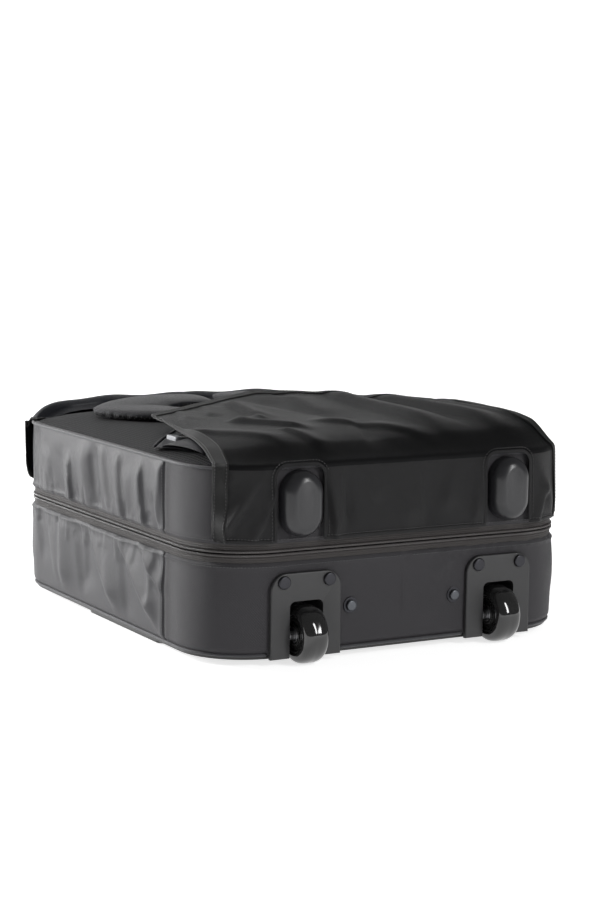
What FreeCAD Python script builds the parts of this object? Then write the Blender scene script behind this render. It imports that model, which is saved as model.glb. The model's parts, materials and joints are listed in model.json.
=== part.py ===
"""Rolling laptop case lying flat, wheels at the near end (-Y), handle at the far end (+Y).

+Z is the thickness of the case, +X its width.  All lengths are in millimetres.
The case is two zipped halves.  The base half carries the wheels and the trolley, and the
lid half carries the carrying harness.  Shapes are drawn about the centre of the case and
moved by frame_shift at the end, so that the origin is the middle of the whole outline.
"""
import FreeCAD, Part
import math
import os

V = FreeCAD.Vector

# ---- the case -------------------------------------------------------------
width = 376.6
length = 439.2
corner_radius = 63.0
wall = 4.0
near = -length / 2
far = length / 2
frame_shift = 11.0

# heights, from the floor up
plate_bottom = 5.6
base_bottom = 9.0
base_rim = 88.7
zip_plane = 96.7
zip_gap = 1.0
coil_height = 1.6
lid_rim = 104.7
lid_top = 169.0
pad_rim = 173.0
pad_top = 178.0

# ---- the hinge side of the zip ----------------------------------------------
gusset_half = 150.0
lid_axis_out = 2.6

# ---- wheels -----------------------------------------------------------------
wheel_x = 98.4
wheel_r = 25.5
wheel_width = 24.0
wheel_y = near - 1.5
hub_r = 16.5
hub_width = 22.0
bearing_r = 6.5
bearing_width = 4.0
axle_r = 2.5
running = 0.03
housing_half = 34.0
housing_top = 79.3
housing_proud = 4.5
slot_half = 16.1
slot_top = 54.6
cheek = 8.0
well_depth = 31.0
housing_bolt_dx = 22.0
housing_bolt_z = 71.7

# ---- trolley ----------------------------------------------------------------
tube_x = 53.0
tube_z = 26.0
tube_wall = 1.0
tube_gap = 0.3
outer_size = (24.0, 18.0)
cup_back = 190.0
cup_half = 79.0
cup_low = 12.2
cup_high = 63.0
grip_half = 75.0
grip_start = 199.5
grip_end = 217.0
pin_y = -182.0
pin_r = 2.0
foot_bolt_z = 46.0

# ---- harness side -------------------------------------------------------------
foot_x = 105.6
foot_size = (37.0, 57.0, 18.0)
foot_z = 138.5
foot_screw_dz = 18.0
cover_free_y = 75.0
cover_corner = (150.0, -31.0)
cover_thick = 2.5
cover_profile = ((near - 5.0, 177.5), (near + 20.0, 185.0), (near + 55.0, 192.0), (75.0, 202.5))
cover_offset = 4.6
skirt_low = 106.0
skirt_high = 173.0
notch_half = 23.0
notch_top = 170.5
notch_round = 10.0
strap_thick = 11.0
flap_ridge = 189.5
wrap_angle = math.radians(50)

# ---- zip sliders ----------------------------------------------------------------
slider_x = 22.0
pull_z = 95.0
pull_length = 28.0

nodes = {}


def box(x0, x1, y0, y1, z0, z1):
    return Part.makeBox(x1 - x0, y1 - y0, z1 - z0, V(x0, y0, z0))


def rod(radius, start, end):
    """A cylinder between two points."""
    path = V(*end) - V(*start)
    return Part.makeCylinder(radius, path.Length, V(*start), path)


def ring(r_out, r_in, start, end):
    return rod(r_out, start, end).cut(rod(r_in, start, end))


def rounded_prism(half_x, half_y, radius, z0, z1):
    """A rectangle with four round corners, standing from z0 to z1."""
    block = box(-half_x, half_x, -half_y, half_y, z0, z1)
    uprights = [e for e in block.Edges if abs(e.Vertexes[0].Z - e.Vertexes[1].Z) > 1e-6]
    return block.makeFillet(radius, uprights)


def outline(offset, z0, z1):
    """The plan outline of the case, grown by offset."""
    return rounded_prism(width / 2 + offset, length / 2 + offset, corner_radius + offset, z0, z1)


def band(outer, inner, z0, z1):
    """A ring that follows the plan outline between two offsets."""
    return outline(outer, z0, z1).cut(outline(inner, z0 - 1, z1 + 1))


def tube(size, start, end, thickness):
    """A flat oval tube along Y, centred on x = 0 and the tube height."""
    def bar(w, h):
        prism = rounded_prism(w / 2, h / 2, h * 0.32, start, end)
        prism.rotate(V(0, 0, 0), V(1, 0, 0), -90)
        prism.translate(V(0, 0, tube_z))
        return prism
    if thickness == 0:
        return bar(*size)
    return bar(*size).cut(bar(size[0] - 2 * thickness, size[1] - 2 * thickness))


def moved(shape, x=0.0, y=0.0, z=0.0):
    copy = shape.copy()
    copy.translate(V(x, y, z))
    return copy


def mirrored(shape):
    return shape.mirror(V(0, 0, 0), V(1, 0, 0))


def pair(shape):
    """The same solid at the left and the right of the case."""
    return Part.makeCompound([mirrored(shape), shape])


def stadium(ax, ay, bx, by, radius, z0, z1):
    """A slab with round ends between two plan points."""
    along = V(bx - ax, by - ay, 0)
    side = V(-along.y, along.x, 0).normalize() * radius
    a = V(ax, ay, z0)
    b = V(bx, by, z0)
    corners = [a + side, b + side, b - side, a - side, a + side]
    middle = Part.Face(Part.makePolygon(corners)).extrude(V(0, 0, z1 - z0))
    ends = [rod(radius, (p.x, p.y, z0), (p.x, p.y, z1)) for p in (a, b)]
    return middle.multiFuse(ends).removeSplitter()


def across(shape_list, name):
    nodes[name] = Part.makeCompound(shape_list)


def at_wheels(shape):
    """Both wheel positions, each as its own solid."""
    return [moved(shape, x=-wheel_x), moved(shape, x=wheel_x)]


# ---- base half ------------------------------------------------------------------

def make_base_shell():
    """Tray with four walls and a floor, cut for the wheel wells, the cup and the bolts."""
    shell = outline(0, base_bottom, base_rim).cut(outline(-wall, base_bottom + 3, base_rim + 1))
    for x in (-wheel_x, wheel_x):
        reach = slot_half + cheek
        shell = shell.cut(box(x - reach, x + reach, near - 10, near + well_depth, 0, 58))
        for dx in (-housing_bolt_dx, housing_bolt_dx):
            shell = shell.cut(rod(2.7, (x + dx, near - 10, housing_bolt_z), (x + dx, near + 10, housing_bolt_z)))
    for x in (-tube_x, tube_x):
        shell = shell.cut(rod(2.7, (x, near - 10, foot_bolt_z), (x, near + 10, foot_bolt_z)))
    cup = cup_half + 0.1
    return shell.cut(box(-cup, cup, cup_back - 5, far + 10, cup_low - 0.1, cup_high + 0.1))


def make_back_plate():
    plate = outline(-3, plate_bottom, base_bottom)
    for x in (-wheel_x, wheel_x):
        reach = slot_half + cheek
        plate = plate.cut(box(x - reach, x + reach, near - 10, near + well_depth, 0, 20))
    return plate


def make_base_piping():
    """Piping round the bottom edge, broken by the two wheel housings."""
    piping = band(2.4, 0.05, 8.6, 11.4)
    half = housing_half + 0.1
    for x in (-wheel_x, wheel_x):
        piping = piping.cut(box(x - half, x + half, near - 10, near + 10, 5, 15))
    return piping


def make_skid():
    """One rail that the wheeled half rests on, with round ends."""
    rail = stadium(172, near + 125, 172, near + 268, 7, 0, plate_bottom)
    low = [e for e in rail.Edges if max(v.Z for v in e.Vertexes) < 0.01]
    return rail.makeFillet(1.5, low)


def make_housing():
    """Wheel housing at x = 0: face plate with a slot, cheeks, roof and back of the well."""
    front = near - housing_proud
    plate = box(-housing_half, housing_half, front, near, plate_bottom, housing_top)
    top = [e for e in plate.Edges
           if e.BoundBox.YLength > 1 and e.BoundBox.ZLength < 1e-6 and e.BoundBox.ZMin > 70]
    plate = plate.makeFillet(15.0, top)
    rim = [e for e in plate.Edges if abs(e.BoundBox.YMin - front) < 1e-4 and e.BoundBox.YLength < 1e-4]
    plate = plate.makeFillet(1.4, rim)
    reach = slot_half + cheek
    body = box(-reach, reach, near, near + well_depth, plate_bottom, slot_top + 3.4)
    slot = box(-slot_half, slot_half, front - 5, near + well_depth - 3, -5, slot_top)
    crown = [e for e in slot.Edges if e.BoundBox.YLength > 5 and e.BoundBox.ZMin > 5]
    slot = slot.makeFillet(5.0, crown)
    housing = plate.fuse(body).cut(slot)
    bore = rod(axle_r + 0.02, (-23, wheel_y, wheel_r), (23, wheel_y, wheel_r))
    housing = housing.cut(bore)
    for dx in (-housing_bolt_dx, housing_bolt_dx):
        housing = housing.cut(rod(2.7, (dx, front - 5, housing_bolt_z), (dx, near + 5, housing_bolt_z)))
    return housing.removeSplitter()


def make_bolt(x, z, head_r, head_from, head_to, inner_end):
    """Domed bolt along Y: its head stands towards -Y, its shank reaches inside the case."""
    head = rod(head_r, (x, head_from, z), (x, head_to, z))
    crown = [e for e in head.Edges if abs(e.BoundBox.YMax - min(head_from, head_to)) < 1e-4]
    head = head.makeFillet(abs(head_from - head_to) * 0.6, crown)
    return head.fuse(rod(2.5, (x, head_to, z), (x, inner_end, z)))


def make_trolley_foot():
    """Cross plate behind the near wall, with a socket for the tail of each outer tube."""
    inside = near + wall
    plate = box(-70, 70, inside, inside + 4, 14, 57)
    for x in (-tube_x, tube_x):
        socket = box(x - 15, x + 15, inside + 4, inside + 24, 14, 37)
        plate = plate.fuse(socket)
    for x in (-tube_x, tube_x):
        seat = moved(tube((outer_size[0] + 0.1, outer_size[1] + 0.1), inside + 4, inside + 30, 0), x=x)
        plate = plate.cut(seat)
        plate = plate.cut(rod(2.55, (x, inside - 5, foot_bolt_z), (x, inside + 9, foot_bolt_z)))
    return plate.removeSplitter()


def make_cup():
    """Recess for the stowed grip: a box open to +Y with a rim outside the wall."""
    outer = box(-cup_half, cup_half, cup_back, far, cup_low, cup_high)
    rim = box(-cup_half - 6, cup_half + 6, far, far + 2.2, cup_low, cup_high + 4)
    corners = [e for e in rim.Edges if e.BoundBox.YLength > 1]
    rim = rim.makeFillet(5.0, corners)
    cup = outer.fuse(rim)
    cup = cup.cut(box(-cup_half + 2, cup_half - 2, cup_back + 2, far + 5, cup_low + 2, cup_high - 2))
    for x in (-tube_x, tube_x):
        hole = tube((outer_size[0] + 0.2, outer_size[1] + 0.2), cup_back - 1, cup_back + 3, 0)
        cup = cup.cut(moved(hole, x=x))
    return cup.removeSplitter()


def make_well_cover():
    """Inner step that hides the wheel wells and the trolley foot."""
    inside = near + wall
    top = outline(-wall - 0.3, 60.5, 62.0).common(box(-200, 200, inside + 0.3, near + 34.5, 60, 63))
    face = outline(-wall - 0.3, 38.2, 60.5).common(box(-200, 200, near + 33, near + 34.5, 38, 61))
    return top.fuse(face).removeSplitter()


def make_base_floor():
    """Stiff board over the trolley tubes."""
    board = outline(-wall - 0.3, 36.6, 38.0).common(box(-200, 200, near + 32, far, 36, 39))
    return board.cut(box(-cup_half - 2, cup_half + 2, cup_back - 2, far, 30, 45))


def make_base_lining():
    lining = band(-wall - 0.1, -wall - 1.0, 38.2, base_rim)
    lining = lining.cut(box(-200, 200, near, near + 35, 30, 62.2))
    for x in (-wheel_x - housing_bolt_dx, -wheel_x + housing_bolt_dx,
              wheel_x - housing_bolt_dx, wheel_x + housing_bolt_dx):
        lining = lining.cut(rod(4.5, (x, near, housing_bolt_z), (x, near + 8, housing_bolt_z)))
    return lining.cut(box(-cup_half - 4, cup_half + 4, cup_back - 6, far, 30, cup_high + 3))


def make_zip_band(outer, inner, z0, z1):
    """A band of the zip: it runs round the case except along the hinge side."""
    strip = band(outer, inner, z0, z1)
    return strip.cut(box(width / 2 - 20, width / 2 + 20, -gusset_half, gusset_half, z0 - 1, z1 + 1))


def make_gusset():
    """Fabric hinge between the two halves along the right-hand side."""
    reach = gusset_half - 0.5
    strip = band(-0.2, -1.6, base_rim + 0.05, lid_rim - 0.05)
    return strip.common(box(width / 2 - 20, width / 2 + 20, -reach, reach, 80, 110))


# ---- trolley ------------------------------------------------------------------------

def stage_size(stage):
    """Outside width and height of the tube of a stage: 0 fixed, 1 middle, 2 inner."""
    step = 2 * (tube_wall + tube_gap)
    return (outer_size[0] - stage * step, outer_size[1] - stage * step)


def make_collar(size, bore, start, end):
    """Plastic collar at the mouth of a tube."""
    collar = tube(size, start, end, 0)
    return collar.cut(tube((bore[0] + 0.2, bore[1] + 0.2), start - 1, end + 1, 0))


def make_inner_tube():
    """Inner tube with the side hole that its lock pin works in, on the outer side."""
    stage = tube(stage_size(2), -190, grip_start + 2, tube_wall)
    return stage.cut(rod(pin_r + 0.15, (4, pin_y, tube_z), (12, pin_y, tube_z)))


def make_pin_block():
    """Plug in the tail of an inner tube that guides the lock pin."""
    w, h = stage_size(2)
    block = tube((w - 2 * tube_wall - 0.2, h - 2 * tube_wall - 0.2), -190, -179.5, 0)
    return block.cut(rod(pin_r + 0.1, (-5, pin_y, tube_z), (12, pin_y, tube_z)))


def make_grip():
    """Grip core: a bar across both tubes, hollow for the release bar."""
    core = box(-grip_half, grip_half, grip_start, grip_end, tube_z - 10.5, tube_z + 10.5)
    long_edges = [e for e in core.Edges if e.BoundBox.XLength > 10]
    core = core.makeFillet(5.0, long_edges)
    core = core.cut(box(-62, 62, grip_start + 2.5, grip_end - 3.5, tube_z - 6, tube_z + 6))
    core = core.cut(box(-12.3, 12.3, grip_end - 5, grip_end + 1, tube_z - 5, tube_z + 5))
    for x in (-tube_x, tube_x):
        w, h = stage_size(2)
        core = core.cut(moved(tube((w + 0.1, h + 0.1), grip_start - 1, grip_start + 2.5, 0), x=x))
    return core.removeSplitter()


def make_button():
    """Release button with the bar that joins the two push rods."""
    button = box(-12, 12, 212, 220.5, tube_z - 4.7, tube_z + 4.7)
    crown = [e for e in button.Edges if e.BoundBox.YMin > 220.4]
    button = button.makeFillet(1.2, crown)
    bar = box(-60, 60, 208, 212, tube_z - 4, tube_z + 4)
    return button.fuse(bar).removeSplitter()


def make_push_rods():
    return pair(rod(1.5, (tube_x, -175, tube_z), (tube_x, 208, tube_z)))


def make_button_spring():
    """Coil spring between the floor of the grip and the release bar."""
    radius = 3.0
    wire_r = 0.4
    height = 4.6
    helix = Part.makeHelix(1.15, height, radius)
    section = Part.Wire(Part.makeCircle(wire_r, V(radius, 0, 0), V(0, 1, 0)))
    coil = Part.Wire(helix).makePipeShell([section], True, True)
    coil.rotate(V(0, 0, 0), V(1, 0, 0), -90)
    coil.translate(V(0, 202.5 + wire_r, tube_z))
    return coil


def make_lock_pin():
    """Right-hand lock pin, its tip just under the wall of the middle tube."""
    tip = tube_x + stage_size(2)[0] / 2
    return rod(pin_r, (tube_x - 1, pin_y, tube_z), (tip, pin_y, tube_z))


# ---- wheels -----------------------------------------------------------------------------

def make_tyre():
    """Tyre at x = 0 with a round tread, like a skate wheel."""
    half = wheel_width / 2
    tyre = rod(wheel_r, (-half, wheel_y, wheel_r), (half, wheel_y, wheel_r))
    edges = [e for e in tyre.Edges if e.BoundBox.XLength < 1e-4]
    tyre = tyre.makeFillet(8.5, edges)
    return tyre.cut(rod(hub_r, (-20, wheel_y, wheel_r), (20, wheel_y, wheel_r)))


def make_hub():
    """Hub with a dished face on both sides and a seat for each bearing."""
    half = hub_width / 2

    def shaft(radius, x0, x1):
        return rod(radius, (x0, wheel_y, wheel_r), (x1, wheel_y, wheel_r))

    hub = shaft(hub_r, -half, half).cut(shaft(4.0, -half - 1, half + 1))
    for side in (-1, 1):
        inner = side * (half - bearing_width)
        hub = hub.cut(shaft(bearing_r, inner, side * (half + 1)))
        dish = shaft(14.5, side * (half - 2), side * (half + 1)).cut(shaft(9.0, side * (half - 3), side * (half + 2)))
        hub = hub.cut(dish)
    return hub


def make_bearings(x):
    """Two plain-ring stand-ins for the bearings of the wheel at x."""
    half = hub_width / 2
    return [ring(bearing_r, axle_r + running, (x + s * (half - bearing_width), wheel_y, wheel_r),
                 (x + s * half, wheel_y, wheel_r)) for s in (-1, 1)]


def make_spacers():
    """Spacers on both axles, between the bearings and the cheeks."""
    half = hub_width / 2
    return [ring(4.3, axle_r + 0.02, (x + s * (half + 0.15), wheel_y, wheel_r),
                 (x + s * (slot_half - 0.05), wheel_y, wheel_r))
            for x in (-wheel_x, wheel_x) for s in (-1, 1)]


# ---- lid half ------------------------------------------------------------------------------

def make_lid_shell():
    """Upside-down tray: four walls and the back panel."""
    shell = outline(0, lid_rim, lid_top).cut(outline(-wall, lid_rim - 1, lid_top - 3))
    for x in (-foot_x, foot_x):
        for dz in (-foot_screw_dz, foot_screw_dz):
            shell = shell.cut(rod(1.7, (x, near - 5, foot_z + dz), (x, near + 6, foot_z + dz)))
    return shell


def make_lid_lining():
    lining = outline(-wall - 0.1, lid_rim, lid_top - 3.1)
    lining = lining.cut(outline(-wall - 1.0, lid_rim - 1, lid_top - 4.0))
    for x in (-foot_x, foot_x):
        for z in (foot_z - foot_screw_dz, foot_z + foot_screw_dz):
            lining = lining.cut(rod(3.3, (x, near, z), (x, near + 8, z)))
    return lining


def make_lid_pocket():
    """Flat document pocket under the back panel: a panel with three side strips."""
    panel = box(-150, 150, -185, 120, 150, 151.5)
    for strip in (box(-150, -148.5, -185, 120, 151.5, 164.8),
                  box(148.5, 150, -185, 120, 151.5, 164.8),
                  box(-150, 150, -185, -183.5, 151.5, 164.8)):
        panel = panel.fuse(strip)
    return panel.removeSplitter()


def make_foot():
    """Pill-shaped foot at x = 0 on the near end of the lid."""
    w, h, d = foot_size
    r = w / 2
    pill = box(-r, r, near - d, near, foot_z - h / 2 + r, foot_z + h / 2 - r)
    for z in (foot_z - h / 2 + r, foot_z + h / 2 - r):
        pill = pill.fuse(rod(r, (0, near - d, z), (0, near, z)))
    pill = pill.removeSplitter()
    front = [e for e in pill.Edges if e.BoundBox.YMax < near - d + 0.01]
    pill = pill.makeFillet(11.0, front)
    for dz in (-foot_screw_dz, foot_screw_dz):
        pill = pill.cut(rod(1.55, (0, near - 8, foot_z + dz), (0, near + 1, foot_z + dz)))
    return pill


def make_foot_screws():
    """Four screws driven from inside the lid into the feet."""
    screws = []
    for x in (-foot_x, foot_x):
        for dz in (-foot_screw_dz, foot_screw_dz):
            z = foot_z + dz
            head = rod(3.0, (x, near + wall, z), (x, near + wall + 1.0, z))
            screws.append(head.fuse(rod(1.5, (x, near - 7.5, z), (x, near + wall, z))))
    return screws


def make_cover():
    """Rising panel over the near part of the harness, tapered, with an arched free edge."""
    top = [V(0, y, z) for y, z in cover_profile]
    under = [p - V(0, 0, cover_thick) for p in reversed(top)]
    slab = Part.Face(Part.makePolygon(top + under + top[:1])).extrude(V(width + 20, 0, 0))
    slab.translate(V(-width / 2 - 10, 0, 0))
    x, y = cover_corner
    rise = cover_free_y - y
    arch_r = (x * x + rise * rise) / (2 * rise)
    arch = rod(arch_r, (0, cover_free_y - arch_r, 100), (0, cover_free_y - arch_r, 300))
    edge_x = x + (width / 2 + cover_offset - x) * 1.25
    edge_y = y + (near - y) * 1.25
    trapezoid = [V(-x, y, 100), V(x, y, 100), V(edge_x, edge_y, 100), V(-edge_x, edge_y, 100), V(-x, y, 100)]
    plan = Part.Face(Part.makePolygon(trapezoid)).extrude(V(0, 0, 200))
    plan = plan.fuse(arch.common(box(-x, x, y, cover_free_y + 1, 100, 300)))
    return slab.common(outline(cover_offset, 150, 260)).common(plan)


def skirt_limit():
    """How far along Y the hanging skirts wrap round the corners."""
    return length / 2 - corner_radius + corner_radius * math.cos(wrap_angle)


def make_near_skirt():
    """Hanging part of the harness cover, notched round both feet."""
    skirt = band(cover_offset, cover_offset - 2.0, skirt_low, skirt_high)
    skirt = skirt.common(box(-250, 250, near - 20, -skirt_limit(), 90, 190))
    for x in (-foot_x, foot_x):
        notch = box(x - notch_half, x + notch_half, near - 20, near + 10, 100, notch_top)
        crown = [e for e in notch.Edges if e.BoundBox.YLength > 1 and e.BoundBox.ZMin > 150]
        skirt = skirt.cut(notch.makeFillet(notch_round, crown))
    return skirt


def make_far_flap():
    """Far harness flap, turned out over the far end and hanging down it."""
    cap = outline(5.0, skirt_low, flap_ridge).cut(outline(2.6, 100, flap_ridge - 2.5))
    cap = cap.common(box(-250, 250, 184, 250, 100, 200))
    return cap.cut(box(-250, 250, 140, skirt_limit(), 100, flap_ridge - 2.5))


def make_back_pad():
    """Stuffed mesh panel: a low rim under the piping line and a raised middle."""
    rim = outline(-4, lid_top + 0.3, pad_rim)
    return rim.fuse(rounded_prism(172, 186, 50, pad_rim, pad_top)).removeSplitter()


def make_strap():
    """Padded shoulder strap lying on the back pad, right-hand side: out from the neck and back in."""
    z0 = pad_top + 0.4
    z1 = z0 + strap_thick
    legs = [stadium(34, 154, 122, 138, 28, z0, z1), stadium(112, 130, 80, 60, 26, z0, z1),
            stadium(80, 60, 86, 0, 24, z0, z1)]
    return legs[0].multiFuse(legs[1:]).removeSplitter()


def make_strap_wing():
    """Triangular pad that anchors the lower end of the right-hand strap."""
    z0 = pad_top + 0.4
    points = [V(170, -104, z0), V(170, -168, z0), V(120, -124, z0), V(170, -104, z0)]
    wing = Part.Face(Part.makePolygon(points)).extrude(V(0, 0, 3.5))
    uprights = [e for e in wing.Edges if e.BoundBox.ZLength > 1]
    return wing.makeFillet(4.0, uprights)


def make_ladder_lock():
    """Ladder-lock buckle with two slots for the webbing."""
    z0 = pad_top + 0.4
    frame_part = box(128, 158, -92, -70, z0, z0 + 4)
    uprights = [e for e in frame_part.Edges if e.BoundBox.ZLength > 1]
    frame_part = frame_part.makeFillet(3.0, uprights)
    for y in (-89, -78):
        frame_part = frame_part.cut(box(132, 154, y, y + 5, z0 - 1, z0 + 6))
    return frame_part


def make_strap_webbing():
    """Webbing from the strap end to the ladder lock, and on from there to the wing."""
    z0 = pad_top + 0.4
    upper = [V(90, -16, z0), V(109, -10, z0), V(150, -69.7, z0), V(130, -69.7, z0), V(90, -16, z0)]
    web = Part.Face(Part.makePolygon(upper)).extrude(V(0, 0, 1.5)).cut(make_strap())
    return [web, box(132.5, 153.5, -125, -92.3, z0, z0 + 1.5).cut(make_strap_wing())]


# ---- zip sliders --------------------------------------------------------------------------------

def make_slider(x):
    """Zip slider on the far end: a front and a back plate joined between the coils."""
    front = box(x - 5, x + 5, far + 0.7, far + 2.4, 91.5, 102.0)
    back = box(x - 5, x + 5, far - 4.6, far - 2.4, 91.5, 102.0)
    post_low = zip_plane - zip_gap / 2 + 0.1
    post = box(x - 1.5, x + 1.5, far - 2.4, far + 0.7, post_low, post_low + zip_gap - 0.2)
    slider = front.fuse(back).fuse(post)
    for side in (-1, 1):
        lo, hi = sorted((x + side * 2.6, x + side * 4.4))
        slider = slider.fuse(box(lo, hi, far + 2.4, far + 5.0, pull_z - 1.8, pull_z + 1.8))
    pin_y_out = far + 3.8
    return slider.cut(rod(0.85, (x - 6, pin_y_out, pull_z), (x + 6, pin_y_out, pull_z))).removeSplitter()


def make_pull(x):
    """Pull tab that hangs from the slider on its own cross pin."""
    y = far + 3.8
    pin = rod(0.8, (x - 4.3, y, pull_z), (x + 4.3, y, pull_z))
    neck = box(x - 2.2, x + 2.2, y - 0.8, y + 0.8, pull_z - 10, pull_z + 0.8)
    tab = box(x - 4.0, x + 4.0, y - 0.9, y + 0.9, pull_z - pull_length, pull_z - 9)
    corners = [e for e in tab.Edges if e.BoundBox.YLength > 1]
    tab = tab.makeFillet(1.8, corners)
    return pin.fuse(neck).fuse(tab).removeSplitter()


# ---- everything together --------------------------------------------------------------------------

def build_base():
    nodes["base_shell"] = make_base_shell()
    nodes["back_plate"] = make_back_plate()
    nodes["skid_rails"] = pair(make_skid())
    nodes["base_piping"] = make_base_piping()
    nodes["base_floor_board"] = make_base_floor()
    nodes["laptop_pad"] = rounded_prism(150, 182, 30, 38.2, 45.0).common(
        box(-200, 200, near + 36, cup_back - 4, 30, 50))
    nodes["well_cover"] = make_well_cover()
    nodes["base_lining"] = make_base_lining()
    coil_low = zip_plane - zip_gap / 2 - coil_height
    nodes["base_zip_tape"] = make_zip_band(-0.2, -1.6, base_rim + 0.05, coil_low)
    nodes["base_zip_coil"] = make_zip_band(0.4, -2.0, coil_low, coil_low + coil_height)
    nodes["hinge_gusset"] = make_gusset()


def build_running_gear():
    housing = make_housing()
    front = near - housing_proud
    for name, x in (("left", -wheel_x), ("right", wheel_x)):
        nodes["wheel_housing_" + name] = moved(housing, x=x)
        nodes["tyre_" + name] = moved(make_tyre(), x=x)
        nodes["wheel_hub_" + name] = moved(make_hub(), x=x)
        across(make_bearings(x), "bearings_" + name)
    axle = rod(axle_r, (-22.5, wheel_y, wheel_r), (22.5, wheel_y, wheel_r))
    across(at_wheels(axle), "wheel_axles")
    across(make_spacers(), "axle_spacers")
    bolt = [make_bolt(dx, housing_bolt_z, 5.75, front - 2.4, front, near + wall + 5)
            for dx in (-housing_bolt_dx, housing_bolt_dx)]
    nut = [ring(4.2, 2.5, (dx, near + wall, housing_bolt_z), (dx, near + wall + 4, housing_bolt_z))
           for dx in (-housing_bolt_dx, housing_bolt_dx)]
    across([b for dx_bolt in bolt for b in at_wheels(dx_bolt)], "housing_bolts")
    across([n for dx_nut in nut for n in at_wheels(dx_nut)], "housing_nuts")
    across([ring(7.0, 2.7, (x, near - 1.4, foot_bolt_z), (x, near, foot_bolt_z))
            for x in (-tube_x, tube_x)], "trolley_foot_washers")
    across([make_bolt(x, foot_bolt_z, 4.75, near - 4.0, near - 1.4, near + wall + 8)
            for x in (-tube_x, tube_x)], "trolley_foot_bolts")
    nodes["trolley_foot"] = make_trolley_foot()


def build_trolley():
    nodes["handle_cup"] = make_cup()
    outer_end = cup_back + 4
    mid_end = outer_end + 0.5
    stages = (("outer_tubes", 0, near + wall + 4.5, cup_back + 1.8),
              ("middle_tubes", 1, -196, mid_end))
    for name, stage, start, end in stages:
        nodes[name] = pair(moved(tube(stage_size(stage), start, end, tube_wall), x=tube_x))
    nodes["inner_tubes"] = pair(moved(make_inner_tube(), x=tube_x))
    collar = make_collar((outer_size[0] + 4, outer_size[1] + 2), stage_size(1), cup_back + 2.05, outer_end + 0.3)
    nodes["outer_collars"] = pair(moved(collar, x=tube_x))
    collar = make_collar(stage_size(1), stage_size(2), mid_end + 0.05, grip_start - 0.4)
    nodes["middle_collars"] = pair(moved(collar, x=tube_x))
    nodes["grip_core"] = make_grip()
    nodes["pin_blocks"] = pair(moved(make_pin_block(), x=tube_x))
    nodes["release_button"] = make_button()
    nodes["push_rods"] = make_push_rods()
    nodes["button_spring"] = make_button_spring()
    nodes["lock_pin_right"] = make_lock_pin()
    nodes["lock_pin_left"] = mirrored(make_lock_pin())


def build_lid():
    nodes["lid_shell"] = make_lid_shell()
    nodes["lid_piping"] = band(2.4, 0.05, 167.5, 170.3)
    nodes["lid_lining"] = make_lid_lining()
    nodes["lid_pocket"] = make_lid_pocket()
    coil_low = zip_plane + zip_gap / 2
    nodes["lid_zip_coil"] = make_zip_band(0.4, -2.0, coil_low, coil_low + coil_height)
    nodes["lid_zip_tape"] = make_zip_band(-0.2, -1.6, coil_low + coil_height, lid_rim - 0.05)
    nodes["feet"] = pair(moved(make_foot(), x=foot_x))
    across(make_foot_screws(), "foot_screws")
    nodes["back_pad"] = make_back_pad()
    nodes["shoulder_straps"] = pair(make_strap())
    nodes["strap_wings"] = pair(make_strap_wing())
    nodes["ladder_locks"] = pair(make_ladder_lock())
    webbing = make_strap_webbing()
    across(webbing + [mirrored(piece) for piece in webbing], "strap_webbing")
    nodes["near_skirt"] = make_near_skirt()
    nodes["harness_cover"] = make_cover()
    nodes["far_flap"] = make_far_flap()


def build_sliders():
    for name, x in (("left", -slider_x), ("right", slider_x)):
        nodes["zip_slider_" + name] = make_slider(x)
        nodes["zip_pull_" + name] = make_pull(x)


build_base()
build_running_gear()
build_trolley()
build_lid()
build_sliders()

os.makedirs("parts", exist_ok=True)
for name, shape in nodes.items():
    moved(shape, y=frame_shift).exportStep("parts/" + name + ".step")
print(len(nodes), "nodes")
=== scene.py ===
"""Looks of the rolling laptop case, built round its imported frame.

Shapes are drawn in millimetres about the centre of the case: +X is its width, +Y runs from
the wheels to the handle and +Z is up.  mesh_of() turns them into metres in the frame.
"""

import json
import math

import bmesh
import bpy
import numpy as np
from mathutils import Matrix

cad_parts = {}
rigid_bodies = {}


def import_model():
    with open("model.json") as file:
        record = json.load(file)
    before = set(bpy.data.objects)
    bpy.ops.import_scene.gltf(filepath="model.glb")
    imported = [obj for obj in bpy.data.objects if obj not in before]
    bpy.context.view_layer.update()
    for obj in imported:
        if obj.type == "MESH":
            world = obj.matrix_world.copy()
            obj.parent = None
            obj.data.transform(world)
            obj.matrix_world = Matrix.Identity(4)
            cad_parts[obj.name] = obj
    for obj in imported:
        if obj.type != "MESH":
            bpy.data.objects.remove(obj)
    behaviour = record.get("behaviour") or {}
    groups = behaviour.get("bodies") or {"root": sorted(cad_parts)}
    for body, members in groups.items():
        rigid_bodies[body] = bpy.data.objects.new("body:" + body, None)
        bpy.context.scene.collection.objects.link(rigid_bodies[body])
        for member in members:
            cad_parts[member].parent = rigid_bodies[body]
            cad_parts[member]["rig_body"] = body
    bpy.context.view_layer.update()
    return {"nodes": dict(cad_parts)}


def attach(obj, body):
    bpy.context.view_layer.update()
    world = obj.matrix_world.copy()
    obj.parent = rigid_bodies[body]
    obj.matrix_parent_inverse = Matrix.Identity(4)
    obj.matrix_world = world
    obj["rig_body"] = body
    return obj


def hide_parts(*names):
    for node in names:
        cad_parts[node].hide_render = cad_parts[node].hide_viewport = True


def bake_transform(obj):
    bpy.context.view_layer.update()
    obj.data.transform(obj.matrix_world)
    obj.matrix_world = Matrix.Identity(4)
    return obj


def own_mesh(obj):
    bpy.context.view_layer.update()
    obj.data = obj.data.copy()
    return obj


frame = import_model()

MM = 0.001
FRAME_SHIFT = 11.0
UP = np.array([0, 0, 1.0])

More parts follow.
